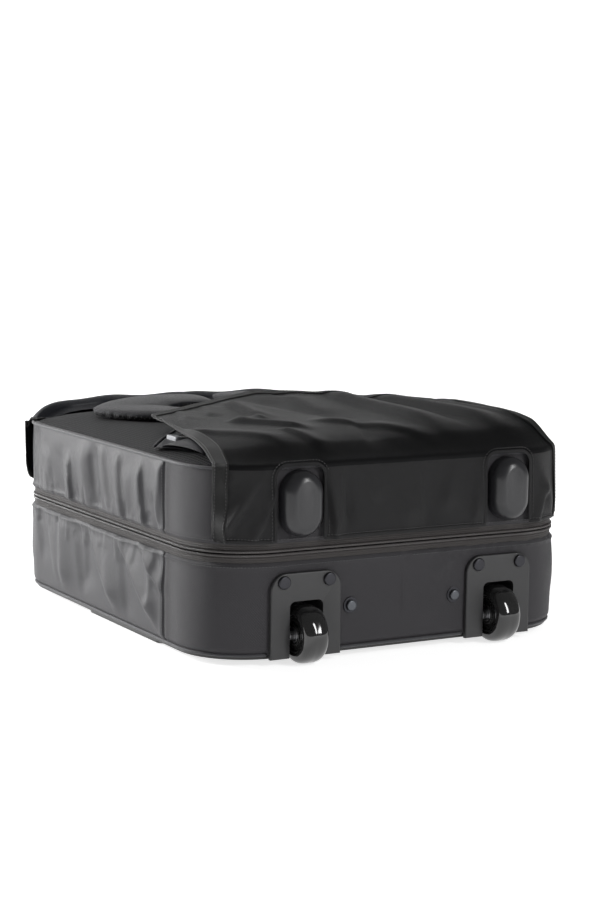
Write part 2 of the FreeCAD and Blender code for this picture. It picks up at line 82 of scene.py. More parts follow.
# ---- the plan outline of the case ----
HALF_X = 188.3
HALF_Y = 219.6
CORNER = 63.0
FLAT_X = HALF_X - CORNER
FLAT_Y = HALF_Y - CORNER
ARC = math.pi / 2 * CORNER
LEGS = np.cumsum([0, FLAT_X, ARC, 2 * FLAT_Y, ARC, 2 * FLAT_X, ARC, 2 * FLAT_Y, ARC, FLAT_X])
ROUND = LEGS[-1]
SEAM = FLAT_X + ARC + 23.6
SEAMS = (SEAM, ROUND - SEAM)
WRAP = FLAT_X + CORNER * math.radians(50)

# ---- heights ----
BASE_LOW, BASE_RIM = 9.0, 88.7
LID_RIM, LID_TOP = 104.7, 169.0
ZIP_MID = 96.7
GUSSET_HALF = 149.5

WHEEL_X = 98.4
WELL_HALF, WELL_TOP = 22.0, 56.0
CUP_HALF, CUP_LOW, CUP_TOP = 81.0, 12.3, 64.5
FOOT_X = 105.6


# ==== shapes ====

def smooth(t):
    """Eases from 0 to 1: 3t^2 - 2t^3, held at its ends."""
    t = np.clip(t, 0.0, 1.0)
    return t * t * (3 - 2 * t)


def bell(d, width):
    """Bell curve of the distance d: exp(-(d / width)^2)."""
    return np.exp(-(d / width) ** 2)


def outline(s):
    """Plan point and outward direction at distance s along the outline.

    s is 0 at the middle of the wheel end and grows towards +X.  The point is that of an
    inner rectangle plus the corner radius times a direction that only turns in the corners.
    """
    s = np.mod(s, ROUND)
    a, b = FLAT_X, FLAT_Y
    inner = np.stack([np.interp(s, LEGS, [0, a, a, a, a, -a, -a, -a, -a, 0]),
                      np.interp(s, LEGS, [-b, -b, -b, b, b, b, b, -b, -b, -b])], -1)
    turn = np.interp(s, LEGS, np.radians([0, 0, 90, 90, 180, 180, 270, 270, 360, 360]))
    out = np.stack([np.sin(turn), -np.cos(turn)], -1)
    return inner + CORNER * out, out


def around(s, offset, z):
    """Points at distance s along the outline, pushed out by offset, at height z."""
    s, offset, z = np.broadcast_arrays(np.asarray(s, float), offset, z)
    point, out = outline(s)
    return np.concatenate([point + out * offset[..., None], z[..., None]], -1)


def creased(s, z, creases):
    """Height of a cloth over its plane: a sum of creases.

    Each crease runs from (s0, z0) to (s1, z1).  Across it the height is a bell curve that
    is steeper on one side, and along it the height fades in and out.
    """
    total = np.zeros(np.broadcast(s, z).shape)
    for s0, z0, s1, z1, width, height in creases:
        length = math.hypot(s1 - s0, z1 - z0)
        us, uz = (s1 - s0) / length, (z1 - z0) / length
        along = ((s - s0) * us + (z - z0) * uz) / length
        over = (z - z0) * us - (s - s0) * uz
        lean = width * (1 + 0.45 * np.tanh(over / width))
        total += height * bell(over, lean) * smooth(along / 0.22) * smooth((1 - along) / 0.3)
    return total


def tent(points, x, y, stiffness=0.0):
    """Height at (x, y) of the thin plate bent through points (x, y, z).

    A sum of r^2 log r about every point plus a plane, with weights solved for.
    """
    p = np.array(points, float)
    n = len(p)

    def kernel(dx, dy):
        r2 = dx * dx + dy * dy + 1e-9
        return 0.5 * r2 * np.log(r2)

    system = np.zeros((n + 3, n + 3))
    system[:n, :n] = kernel(p[:, None, 0] - p[None, :, 0], p[:, None, 1] - p[None, :, 1])
    system[:n, :n] += stiffness * np.eye(n)
    system[:n, n:] = np.column_stack([np.ones(n), p[:, :2]])
    system[n:, :n] = system[:n, n:].T
    weights = np.linalg.solve(system, np.concatenate([p[:, 2], np.zeros(3)]))
    x, y = np.broadcast_arrays(x, y)
    flat = kernel(x[..., None] - p[:, 0], y[..., None] - p[:, 1]) @ weights[:n]
    return flat + weights[n] + weights[n + 1] * x + weights[n + 2] * y


def resampled(path, step):
    """The path with its points at an equal distance of about step."""
    path = np.asarray(path, float)
    reach = np.concatenate([[0], np.cumsum(np.linalg.norm(np.diff(path, axis=0), axis=1))])
    count = max(2, int(round(reach[-1] / step)) + 1)
    at = np.linspace(0, reach[-1], count)
    return np.stack([np.interp(at, reach, path[:, k]) for k in range(path.shape[1])], -1)


def rounded(path, passes=6):
    """The path with its corners eased: each inner point moves to the mean of its neighbours."""
    path = np.array(path, float)
    for _ in range(passes):
        path[1:-1] = (path[:-2] + 2 * path[1:-1] + path[2:]) / 4
    return path


def unit(v):
    return v / np.maximum(np.linalg.norm(v, axis=-1, keepdims=True), 1e-12)


# ==== meshes ====

def mesh_of(name, points, faces, uv, materials, kind=None):
    """Object from points and faces in millimetres; uv has one pair for each face corner."""
    used, small = np.unique(faces, return_inverse=True)
    faces = small.reshape(faces.shape)
    points = (points.reshape(-1, 3)[used] + (0, FRAME_SHIFT, 0)) * MM
    mesh = bpy.data.meshes.new(name)
    mesh.from_pydata(points.tolist(), [], faces.tolist())
    layer = mesh.uv_layers.new(name="cloth")
    layer.data.foreach_set("uv", np.asarray(uv, np.float32).ravel())
    for m in materials:
        mesh.materials.append(m)
    if kind is not None:
        mesh.polygons.foreach_set("material_index", np.asarray(kind, np.int32).ravel())
    mesh.polygons.foreach_set("use_smooth", np.full(len(faces), True))
    mesh.update()
    o = bpy.data.objects.new(name, mesh)
    bpy.context.scene.collection.objects.link(o)
    return o


def surface(name, points, materials, uv=None, wrap=False, keep=None, kind=None):
    """Sheet from a grid of points, rows by columns; wrap joins its last column to its first.

    keep and kind have one value for each cell: whether it stays, and its material.
    uv is in millimetres on the cloth; without it, it is measured along the grid.
    """
    rows, cols = points.shape[:2]
    index = np.arange(rows * cols).reshape(rows, cols)
    if wrap:
        index = np.concatenate([index, index[:, :1]], 1)
        points_round = np.concatenate([points, points[:, :1]], 1)
    else:
        points_round = points
    if uv is None:
        across = np.linalg.norm(np.diff(points_round, axis=1), axis=2).mean(0)
        up = np.linalg.norm(np.diff(points_round, axis=0), axis=2).mean(1)
        u = np.concatenate([[0], np.cumsum(across)])
        v = np.concatenate([[0], np.cumsum(up)])
        uv = np.stack(np.meshgrid(u, v), -1)
    cells = np.stack([index[:-1, :-1], index[:-1, 1:], index[1:, 1:], index[1:, :-1]], -1)
    cell_uv = np.stack([uv[:-1, :-1], uv[:-1, 1:], uv[1:, 1:], uv[1:, :-1]], 2)
    if keep is None:
        keep = np.ones(cells.shape[:2], bool)
    chosen = None if kind is None else np.broadcast_to(kind, cells.shape[:2])[keep]
    return mesh_of(name, points, cells[keep], cell_uv[keep], materials, chosen)


def swept(name, path, side, up, section, material, closed=False, taper=0.0):
    """Solid strip: the closed section (side, up) carried along the path.

    At an open end the strip rounds off over the length taper, down to a point.
    """
    path = np.asarray(path, float)
    side = np.broadcast_to(side, path.shape)
    up = np.broadcast_to(up, path.shape)
    section = np.asarray(section, float)
    scale = np.ones(len(path))
    if not closed:
        reach = np.concatenate([[0], np.cumsum(np.linalg.norm(np.diff(path, axis=0), axis=1))])
        end = np.minimum(reach, reach[-1] - reach)
        if taper > 0:
            scale = np.sqrt(np.clip(1 - (1 - np.clip(end / taper, 0, 1)) ** 2, 0, 1))
        scale[[0, -1]] = 0.001
    grid = (path[:, None] + section[None, :, 0, None] * side[:, None] * scale[:, None, None]
            + section[None, :, 1, None] * up[:, None] * scale[:, None, None])
    if closed:
        grid = np.concatenate([grid, grid[:1]], 0)
    return surface(name, grid, [material], wrap=True)


def oval(width, height, count=16, power=2.6):
    """Section of a strip: a rounded rectangle |x|^n + |y|^n = 1, counterclockwise."""
    turn = np.arange(count) / count * 2 * math.pi
    c, s = np.cos(turn), np.sin(turn)
    return np.stack([np.sign(c) * np.abs(c) ** (2 / power) * width / 2,
                     np.sign(s) * np.abs(s) ** (2 / power) * height / 2], -1)


def copies(name, unit_points, unit_faces, where, axes, materials):
    """Many copies of a small shape in one mesh: where is their place, axes their three directions."""
    points = where[:, None] + np.einsum("vk,nkc->nvc", unit_points, axes)
    start = (np.arange(len(where)) * len(unit_points))[:, None, None]
    faces = (unit_faces[None] + start).reshape(-1, unit_faces.shape[1])
    flat_uv = np.tile(unit_points[unit_faces][..., :2], (len(where), 1, 1, 1))
    return mesh_of(name, points, faces, flat_uv, materials)


def grain(length, width, height, rings=5, sides=6):
    """Small arched grain of thread: a tube whose radius is that of an ellipse."""
    t = np.linspace(-1, 1, rings)[:, None]
    turn = np.arange(sides)[None] / sides * 2 * math.pi
    radius = np.sqrt(np.clip(1 - t ** 4, 0.002, 1))
    points = np.stack([np.broadcast_to(t * length / 2, (rings, sides)),
                       radius * np.cos(turn) * width / 2,
                       radius * np.sin(turn) * height / 2 - t ** 2 * height * 0.6], -1).reshape(-1, 3)
    ring = np.arange(sides)
    after = np.roll(ring, -1)
    faces = np.concatenate([np.stack([r * sides + ring, (r + 1) * sides + ring, (r + 1) * sides + after,
                                      r * sides + after], -1) for r in range(rings - 1)])
    return points, faces[:, ::-1]


def stitched(name, path, up, material, pitch=3.0, length=2.3, width=0.65):
    """Row of stitches along a path: one grain of thread for every pitch."""
    both = np.concatenate([np.asarray(path, float), np.broadcast_to(up, np.shape(path))], 1)
    both = resampled(both, pitch / 3)[1::3]
    place, over = both[:, :3], unit(both[:, 3:])
    ahead = unit(np.gradient(place, axis=0))
    across = unit(np.cross(over, ahead))
    axes = np.stack([ahead, across, np.cross(ahead, across)], 1)
    points, faces = grain(length, width, width * 0.9)
    return copies(name, points, faces, place, axes, [material])


def refined(node, material, bevel=0.0):
    """Smooth copy of a hard CAD node, its split corners joined and its edges eased by bevel mm."""
    source = frame["nodes"][node]
    mesh = source.data.copy()
    mesh.materials.clear()
    mesh.materials.append(material)
    work = bmesh.new()
    work.from_mesh(mesh)
    bmesh.ops.remove_doubles(work, verts=work.verts, dist=2e-6)
    bmesh.ops.dissolve_limit(work, angle_limit=math.radians(0.4), verts=work.verts, edges=work.edges)
    for face in work.faces:
        face.smooth = True
    work.to_mesh(mesh)
    work.free()
    mesh.set_sharp_from_angle(angle=math.radians(32))
    o = bpy.data.objects.new(node + "_finished", mesh)
    bpy.context.scene.collection.objects.link(o)
    if bevel:
        edge = o.modifiers.new("eased_edges", "BEVEL")
        edge.width = bevel * MM
        edge.segments = 2
        edge.limit_method = "ANGLE"
        edge.angle_limit = math.radians(32)
        edge.harden_normals = True
    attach(o, source["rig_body"])
    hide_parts(node)
    return o


def placed(o, body, slot, *nodes):
    """The piece rides on the body and stands for the nodes; the slot is not used."""
    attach(o, body)
    if nodes:
        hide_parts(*nodes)
    return o


# ==== materials ====

class Finish:
    """Node material in the making: a shader with its sockets set, and textures wired to it."""

    def __init__(self, name, colour, rough, laid_flat=False, **sockets):
        self.material = bpy.data.materials.new(name)
        self.material.use_nodes = True
        self.nodes = self.material.node_tree.nodes
        self.links = self.material.node_tree.links
        self.shader = self.nodes["Principled BSDF"]
        self.shader.inputs["Base Color"].default_value = (*colour, 1)
        self.shader.inputs["Roughness"].default_value = rough
        for socket, value in sockets.items():
            self.shader.inputs[socket.replace("_", " ")].default_value = value
        self.colour = colour
        self.rough = rough
        self.height = None
        self.place = self.nodes.new("ShaderNodeTexCoord")
        self.laid_flat = laid_flat

    def join(self, a, b):
        self.links.new(a, b)

    def math(self, operation, a, b=None):
        """One arithmetic step on sockets or numbers."""
        node = self.nodes.new("ShaderNodeMath")
        node.operation = operation
        for k, value in enumerate((a, b)):
            if value is None:
                continue
            if isinstance(value, (int, float)):
                node.inputs[k].default_value = value
            else:
                self.join(value, node.inputs[k])
        return node.outputs[0]

    def on_cloth(self, turn=0.0):
        """Place on the cloth in millimetres: from its plan if it is laid flat, else from its own UV."""
        mapping = self.nodes.new("ShaderNodeMapping")
        mapping.inputs["Rotation"].default_value = (0, 0, math.radians(turn))
        mapping.inputs["Scale"].default_value = (1000, 1000, 1000) if self.laid_flat else (1, 1, 1)
        self.join(self.place.outputs["Object" if self.laid_flat else "UV"], mapping.inputs["Vector"])
        return mapping.outputs[0]

    def noise(self, size, detail=3.0, on_cloth=False):
        """Cloudy noise whose clouds are about size millimetres wide."""
        node = self.nodes.new("ShaderNodeTexNoise")
        node.inputs["Scale"].default_value = (1 if on_cloth else 1000) / size
        node.inputs["Detail"].default_value = detail
        self.join(self.on_cloth() if on_cloth else self.place.outputs["Object"], node.inputs["Vector"])
        return node.outputs[0]

    def ribs(self, pitch, along_v=False, turn=0.0):
        """Parallel ribs: one sine across the cloth, turned by turn degrees."""
        parts = self.nodes.new("ShaderNodeSeparateXYZ")
        self.join(self.on_cloth(turn), parts.inputs[0])
        place = parts.outputs[1 if along_v else 0]
        return self.math("SINE", self.math("MULTIPLY", place, 2 * math.pi / pitch))

    def threads(self, pitch, turn=0.0):
        """Woven ground: the product of two sets of ribs that cross."""
        return self.math("MULTIPLY", self.ribs(pitch, False, turn), self.ribs(pitch, True, turn))

    def raised(self, height, depth):
        """Bumps the surface by the height, depth millimetres deep, on top of what is there."""
        bump = self.nodes.new("ShaderNodeBump")
        bump.inputs["Distance"].default_value = depth * MM
        bump.inputs["Strength"].default_value = 1.0
        self.join(height, bump.inputs["Height"])
        if self.height is not None:
            self.join(self.height, bump.inputs["Normal"])
        self.height = bump.outputs[0]
        self.join(self.height, self.shader.inputs["Normal"])
        return self

    def ranged(self, value, low, high):
        node = self.nodes.new("ShaderNodeMapRange")
        node.inputs["To Min"].default_value = low
        node.inputs["To Max"].default_value = high
        self.join(value, node.inputs[0])
        return node.outputs[0]

    def shaded(self, value, dark, light=1.0):
        """Multiplies the colour by dark where value is 0 and by light where it is 1."""
        mix = self.nodes.new("ShaderNodeMix")
        mix.data_type = "RGBA"
        mix.inputs[6].default_value = (*[min(1, c * dark) for c in self.colour], 1)
        mix.inputs[7].default_value = (*[min(1, c * light) for c in self.colour], 1)
        self.join(value, mix.inputs[0])
        self.join(mix.outputs[2], self.shader.inputs["Base Color"])
        return self

    def polished(self, value, low, high):
        """Roughness goes from low to high with value."""
        self.join(self.ranged(value, low, high), self.shader.inputs["Roughness"])
        return self


def satin_nylon(name, colour, rough=0.42, sheen=0.15, pitch=0.7, specular=0.2, laid_flat=False):
    """Smooth lining-weight twill with a soft shine."""
    f = Finish(name, colour, rough, laid_flat, Sheen_Weight=sheen, Sheen_Roughness=0.4,
               Specular_IOR_Level=specular)
    f.shaded(f.noise(18, on_cloth=True), 0.88, 1.12)
    f.raised(f.threads(pitch, 45), 0.035)
    f.raised(f.noise(5, 4, on_cloth=True), 0.12)
    return f.polished(f.noise(3, on_cloth=True), rough - 0.05, rough + 0.06).material


def ballistic_nylon(name, colour, rough=0.55, pitch=1.3):
    """Coarse plain weave of thick filament yarn."""
    f = Finish(name, colour, rough, Sheen_Weight=0.04, Sheen_Roughness=0.5, Specular_IOR_Level=0.2)
    weave = f.threads(pitch)
    f.shaded(f.ranged(weave, 0.2, 1.0), 0.78, 1.2)
    f.raised(weave, 0.16)
    f.raised(f.noise(9, on_cloth=True), 0.15)
    return f.polished(f.noise(2, on_cloth=True), rough - 0.06, rough + 0.06).material


def air_mesh(name, colour):
    """Spacer mesh: rows of open cells over a dark ground."""
    f = Finish(name, colour, 0.8, laid_flat=True, Specular_IOR_Level=0.2)
    cell = 3.5
    both = f.math("ADD", f.math("MULTIPLY", f.threads(cell), 0.7), f.math("MULTIPLY", f.ribs(cell), 0.5))
    f.shaded(f.ranged(both, 0.1, 1.0), 0.3, 1.7)
    f.raised(both, 0.45)
    return f.raised(f.noise(0.8, on_cloth=True), 0.1).material


def ribbed_tape(name, colour, pitch=1.1, rough=0.6, along_v=False):
    """Narrow woven tape with ribs across it."""
    f = Finish(name, colour, rough, Specular_IOR_Level=0.25)
    ribs = f.ribs(pitch, along_v)
    f.shaded(f.ranged(ribs, 0.2, 0.9), 0.8, 1.15)
    f.raised(ribs, 0.12)
    return f.raised(f.noise(2, on_cloth=True), 0.08).material


def thread(name, colour):
    """Twisted sewing thread."""
    f = Finish(name, colour, 0.5, Sheen_Weight=0.2)
    return f.raised(f.noise(0.4), 0.05).material


def moulded(name, colour, rough, grain_size=0.9, depth=0.03, **sockets):
    """Moulded plastic with a fine spark-eroded grain."""
    f = Finish(name, colour, rough, **sockets)
    f.shaded(f.noise(22), 0.92, 1.06)
    f.raised(f.noise(grain_size, 2), depth)
    return f.polished(f.noise(7), rough - 0.05, rough + 0.05).material


def metal(name, colour, rough, brushed=0.02):
    """Metal with faint brushing."""
    f = Finish(name, colour, rough, Metallic=1.0)
    f.raised(f.noise(0.7, 2), brushed)
    return f.polished(f.noise(5), rough - 0.06, rough + 0.08).material


GREY = (0.037, 0.0365, 0.040)
SATIN = satin_nylon("grey_satin_nylon", GREY, 0.45, 0.06)
BALLISTIC = ballistic_nylon("grey_ballistic_nylon", (0.038, 0.0365, 0.040))
BLACK_SATIN = satin_nylon("black_satin_nylon", (0.008, 0.008, 0.0085), 0.44, 0.0, specular=0.045)
BLACK_BALLISTIC = ballistic_nylon("black_ballistic_nylon", (0.013, 0.0128, 0.0135), 0.52, 1.1)
# painted shading: the flap is the same black nylon as the cover, given a lighter bluish tone that copies the
# bluish shading seen on its inner face
FLAP_SATIN_SHADE_TINTED = satin_nylon("flap_satin_nylon_shade_tint", (0.016, 0.017, 0.022), 0.42, 0.02, specular=0.15)
BINDING = ribbed_tape("black_binding_tape", (0.009, 0.009, 0.009), 1.0)
ZIP_TAPE = ribbed_tape("zip_tape_weave", (0.046, 0.042, 0.041), 0.9)
ZIP_COIL = moulded("zip_coil_nylon", (0.045, 0.041, 0.040), 0.34)
PIPING = satin_nylon("piping_nylon", (0.044, 0.044, 0.048), 0.45)
MESH = air_mesh("black_air_mesh", (0.034, 0.034, 0.036))
STRAP_SATIN = satin_nylon("strap_satin_nylon", (0.015, 0.015, 0.018), 0.42, 0.0,
                         specular=0.08, laid_flat=True)
WEBBING = ribbed_tape("black_webbing", (0.014, 0.014, 0.014), 1.6, along_v=True)
LINING = satin_nylon("lining_nylon", (0.032, 0.033, 0.038), 0.5)
PADDING = ballistic_nylon("laptop_pad_tricot", (0.030, 0.030, 0.034), 0.8, 0.9)
THREAD = thread("dark_thread", (0.022, 0.021, 0.022))
GREY_THREAD = thread("grey_thread", (0.040, 0.040, 0.043))
HOUSING = moulded("housing_nylon", (0.022, 0.022, 0.023), 0.46)
BLACK_PLASTIC = moulded("black_moulding", (0.014, 0.014, 0.014), 0.42)
FOOT_PLASTIC = moulded("foot_moulding", (0.016, 0.016, 0.018), 0.30, 1.4, 0.004)
BUCKLE = moulded("silver_buckle", (0.36, 0.37, 0.39), 0.35)
TYRE = moulded("tyre_urethane", (0.010, 0.010, 0.010), 0.10, 3.0, 0.004, Coat_Weight=0.6, Coat_Roughness=0.05)
# painted shade: the hub is black plastic, and its colour is darkened further to stand for the shadow the
# wheel housing casts over it
HUB_DARKENED_AS_SHADE = moulded("wheel_hub_moulding", (0.010, 0.010, 0.010), 0.28)
STEEL = metal("bright_steel", (0.36, 0.36, 0.37), 0.30)
BOLT = metal("blackened_bolt", (0.045, 0.045, 0.05), 0.42)
PALE_BOLT = metal("grey_bolt", (0.10, 0.105, 0.115), 0.42)
TUBE = metal("anodised_tube", (0.34, 0.35, 0.37), 0.30)
BOARD = moulded("black_board", (0.020, 0.020, 0.022), 0.7, 2.0, 0.05)


# ==== the two halves ====

def stations(step, fine=()):
    """Distances all along the outline, closer together round the places in fine."""
    every = [np.arange(0.0, ROUND, step)] + [np.arange(x - 5, x + 5, 0.5) for x in fine]
    s = np.unique(np.round(np.concatenate(every), 3))
    return s[(s >= 0.0) & (s < ROUND)]


def on_side(s, middle, reach):
    """1 along a stretch of the outline centred on middle, easing to 0 at its ends."""
    gap = np.abs((s - middle + ROUND / 2) % ROUND - ROUND / 2)
    return smooth((reach - gap) / 40)


def random_creases(seed, count, s_range, z_from, z_to, height, lean):
    """Creases that leave the zip at z_from and fan out towards z_to."""
    rng = np.random.default_rng(seed)
    made = []
    for start in np.linspace(*s_range, count) + rng.normal(0, 5, count):
        share = rng.uniform(0.75, 1.15)
        sideways = rng.normal(lean, 9) * share
        made.append((start, z_from, start + sideways, z_from + (z_to - z_from) * share,
                     rng.uniform(7.0, 15.0), height * rng.uniform(0.45, 1.0) * rng.choice((-0.8, 1.0))))
    return made


RIGHT_MID = FLAT_X + ARC + FLAT_Y
LEFT_MID = ROUND - RIGHT_MID
LONG_LEFT, LONG_RIGHT = (ROUND / 2 + 150, SEAMS[1] - 14), (SEAMS[0] + 10, ROUND / 2 - 150)
BASE_CREASES = (
    random_creases(3, 11, LONG_LEFT, BASE_RIM + 6, 12, 3.4, 14)
    + random_creases(4, 11, LONG_RIGHT, BASE_RIM + 6, 12, 3.0, -10)
    + random_creases(5, 9, (ROUND / 2 - 120, ROUND / 2 + 120), BASE_RIM + 2, 30, 0.9, 0)
    + [(1172, 96, 1266, 18, 9, 4.2), (1218, 96, 1282, 48, 6, 3.0), (1104, 96, 1190, 8, 11, 3.4),
       (1240, 44, 1278, 6, 8, 2.0), (-70, 92, -24, 48, 9, 1.4), (36, 92, 62, 40, 8, 1.3),
       (-215, 70, -160, 16, 18, 1.6), (165, 80, 215, 26, 16, 1.4), (-20, 60, 34, 20, 12, 0.9),
       (30, 62, 56, 84, 6, 1.2), (-36, 62, -60, 86, 6, 1.0)])
LID_CREASES = (
    random_creases(13, 12, LONG_LEFT, LID_RIM - 6, 172, 3.4, -6)
    + random_creases(14, 12, LONG_RIGHT, LID_RIM - 6, 172, 3.0, 6)
    + random_creases(15, 9, (ROUND / 2 - 120, ROUND / 2 + 120), LID_RIM - 2, 160, 0.9, 0)
    + [(1190, 98, 1176, 174, 10, 3.8), (1236, 98, 1226, 170, 7, 3.0), (1124, 98, 1104, 170, 11, 3.2),
       (1264, 100, 1254, 142, 5, -2.4), (-215, 130, -170, 165, 18, 1.4)])


def gathers(seed, s_range, z_from, z_to):
    """Short narrow puckers where the cloth is eased on to the zip."""
    rng = np.random.default_rng(seed)
    places = np.arange(*s_range, 9.0)
    return [(at, z_from, at + rng.normal(0, 5), z_from + (z_to - z_from) * rng.uniform(0.5, 1.2),
             rng.uniform(2.6, 4.8), rng.uniform(0.3, 0.85) * rng.choice((-1, 1)))
            for at in places + rng.normal(0, 2.5, len(places))]


BASE_CREASES += (gathers(31, LONG_LEFT, 92, 66) + gathers(32, LONG_RIGHT, 92, 66)
                 + gathers(33, (-230, 230), 92, 80))
LID_CREASES += gathers(41, LONG_LEFT, 101, 128) + gathers(42, LONG_RIGHT, 101, 128)


def seam_groove(s):
    """Cloth drawn in at a seam, with a low swell on both sides."""
    total = np.zeros(np.shape(s))
    for at in SEAMS:
        d = np.abs((s - at + ROUND / 2) % ROUND - ROUND / 2)
        total += -1.3 * bell(d, 1.3) + 0.7 * bell(d - 5.0, 3.5)
    return total


def side_swell(s, share):
    """Stuffed look of the walls: the long sides and the wrapped corners stand out at mid height."""
    long_sides = on_side(s, LEFT_MID, 150) + on_side(s, RIGHT_MID, 150)
    corners = sum(on_side(s, at, 66) for at in (-190, 190, ROUND / 2 - 190, ROUND / 2 + 190))
    return (1.6 * long_sides + 1.0 * corners) * np.sin(math.pi * np.clip(share, 0, 1))


def base_out(s, z):
    """How far the cloth of the base half stands out from the plan outline."""
    share = (z - BASE_LOW) / (BASE_RIM - BASE_LOW)
    turned = -2.8 * (1 - smooth((z - BASE_LOW) / 6.0))
    hem = 0.7 * bell(z - 85.6, 2.0) - 0.9 * bell(z - BASE_RIM, 1.6)
    calm = 0.25 + 0.75 * smooth(share / 0.3)
    return 0.2 + turned + hem + side_swell(s, share) + creased(s, z, BASE_CREASES) * calm + seam_groove(s)


def lid_out(s, z):
    """How far the cloth of the lid half stands out from the plan outline."""
    share = (z - LID_RIM) / (LID_TOP - LID_RIM)
    hem = 0.7 * bell(z - 107.8, 2.0) - 0.9 * bell(z - LID_RIM, 1.6)
    calm = smooth((1.0 - share) / 0.12)
    return 0.2 + hem + side_swell(s, share) + creased(s, z, LID_CREASES) * calm + seam_groove(s)


def is_end_panel(s):
    """True on the wheel end, up to its seams on the long sides."""
    s = np.mod(s, ROUND)
    return (s < SEAMS[0]) | (s > SEAMS[1])


def centres(points):
    """Middle of every cell of a grid whose last column joins its first."""
    ahead = np.roll(points, -1, axis=1)
    return (points[:-1] + points[1:] + ahead[:-1] + ahead[1:]) / 4


def opened(p):
    """True where the base cloth is cut away: over the two wheel wells and the handle recess."""
    well = (np.abs(np.abs(p[..., 0]) - WHEEL_X) < WELL_HALF) & (p[..., 1] < 0) & (p[..., 2] < WELL_TOP)
    cup = (np.abs(p[..., 0]) < CUP_HALF) & (p[..., 1] > 0) & (p[..., 2] > CUP_LOW) & (p[..., 2] < CUP_TOP)
    return well | cup


def cloth_wall(name, s, z, out, before, after, with_openings=False):
    """Wall of one half: the cloth at the heights z, with turned-in rows before and after it.

    before and after are rows of (offset, height).
    """
    rows = [around(s, o, np.full(len(s), h)) for o, h in before]
    rows += [around(s, out(s, h), np.full(len(s), h)) for h in z]
    rows += [around(s, o, np.full(len(s), h)) for o, h in after]
    points = np.stack(rows)
    heights = np.array([h for _, h in before] + list(z) + [h for _, h in after])
    uv = np.stack(np.meshgrid(np.append(s, ROUND), heights), -1)
    kind = np.where(is_end_panel(s + 0.25), 1, 0)[None]
    keep = ~opened(centres(points)) if with_openings else None
    return surface(name, points, [SATIN, BALLISTIC], uv, wrap=True, keep=keep, kind=kind)


columns = stations(1.9, fine=SEAMS)
base_z = np.unique(np.concatenate([np.linspace(BASE_LOW, BASE_RIM, 46),
                                   [CUP_LOW, CUP_TOP, 85.0, 86.5, 87.8]]))
base_cloth = cloth_wall("base_cloth", columns, base_z, base_out,
                        [(-14, 8.9)], [(-1.9, 88.72), (-4.4, 88.6)], with_openings=True)
placed(base_cloth, "base", "grey_nylon", "base_shell")

lid_z = np.unique(np.concatenate([np.linspace(LID_RIM, LID_TOP, 40), [105.6, 106.6, 108.2]]))
lid_cloth = cloth_wall("lid_cloth", columns, lid_z, lid_out,
                       [(-4.4, 104.8), (-1.9, 104.7)], [(-2.0, 169.6), (-12, 169.4)])
placed(lid_cloth, "lid", "grey_nylon", "lid_shell")


def outward_at(s):
    """Outward direction along the outline, as a three-part vector."""
    return np.concatenate([outline(s)[1], np.zeros((len(s), 1))], 1)


def stitch_round(name, body, slot, out, z, spans, proud=0.25):
    """Stitches along the zip, at height z, over stretches of the outline."""
    for k, (low, high) in enumerate(spans):
        s = np.arange(low, high, 1.0)
        path = around(s, out(s, z) + proud, np.full(len(s), z))
        placed(stitched(f"{name}_{k}", path, outward_at(s), GREY_THREAD), body, slot)


stitch_round("base_zip_stitches", "base", "grey_nylon", base_out, 85.4, [(10, ROUND - 2)])
stitch_round("lid_zip_stitches", "lid", "grey_nylon", lid_out, 108.1, [(10, ROUND - 2)])


def seam_stitches(name, body, out, low, high):
    """Two rows of stitches beside each seam of the wheel end."""
    z = np.arange(low, high, 1.0)
    for k, at in enumerate(SEAMS):
        for side in (-1, 1):
            s = np.full(len(z), at + side * 2.3)
            path = around(s, out(s, z) + 0.2, z)
            row_name = f"{name}_{k}_{'near' if side < 0 else 'far'}"
            placed(stitched(row_name, path, outward_at(s), GREY_THREAD, 2.6, 1.9), body, "grey_nylon")


seam_stitches("base_seam_stitches", "base", base_out, 14, 84)
seam_stitches("lid_seam_stitches", "lid", lid_out, 110, 166)


# ---- piping ----

def piping(name, s, offset, z, body, node, closed):
    """Corded edge: a round cord in a cover of cloth, along the outline."""
    path = around(s, offset, np.full(len(s), z))
    out = outward_at(s)
    cord = swept(name, path, UP, out, oval(2.7, 2.7, 12, 2.0), PIPING, closed, taper=2.0)
    placed(cord, body, "piping", *node)


every = np.arange(0, ROUND, 2.0)
piping("lid_piping_cord", every, 0.7, LID_TOP, "lid", ["lid_piping"], True)
piping("base_piping_front", np.arange(-64, 64.5, 2.0), -0.6, 9.8, "base", ["base_piping"], False)
piping("base_piping_round", np.arange(132.8, ROUND - 132.6, 2.0), -1.6, 9.6, "base", [], False)


# ---- the zip ----

ZIP_FROM = RIGHT_MID + 150
ZIP_TO = ROUND + RIGHT_MID - 150


def zip_tape(name, up, body, slot):
    """Woven tape of one half: two raised ridges, tucked under the hem of the cloth.

    up is -1 for the tape below the teeth and 1 for the one above them.
    """
    s = np.arange(ZIP_FROM, ZIP_TO, 2.5)
    t = np.linspace(0, 1, 15)
    z = ZIP_MID + up * (2.3 + t * 6.2)
    out = -1.1 + 0.55 * bell(t - 0.30, 0.09) + 0.45 * bell(t - 0.58, 0.08) + 0.25 * bell(t - 0.86, 0.10)
    points = np.stack([around(s, o, np.full(len(s), h)) for o, h in sorted(zip(out, z), key=lambda r: r[1])])
    return placed(surface(name, points, [ZIP_TAPE]), body, "zip_tape", slot)


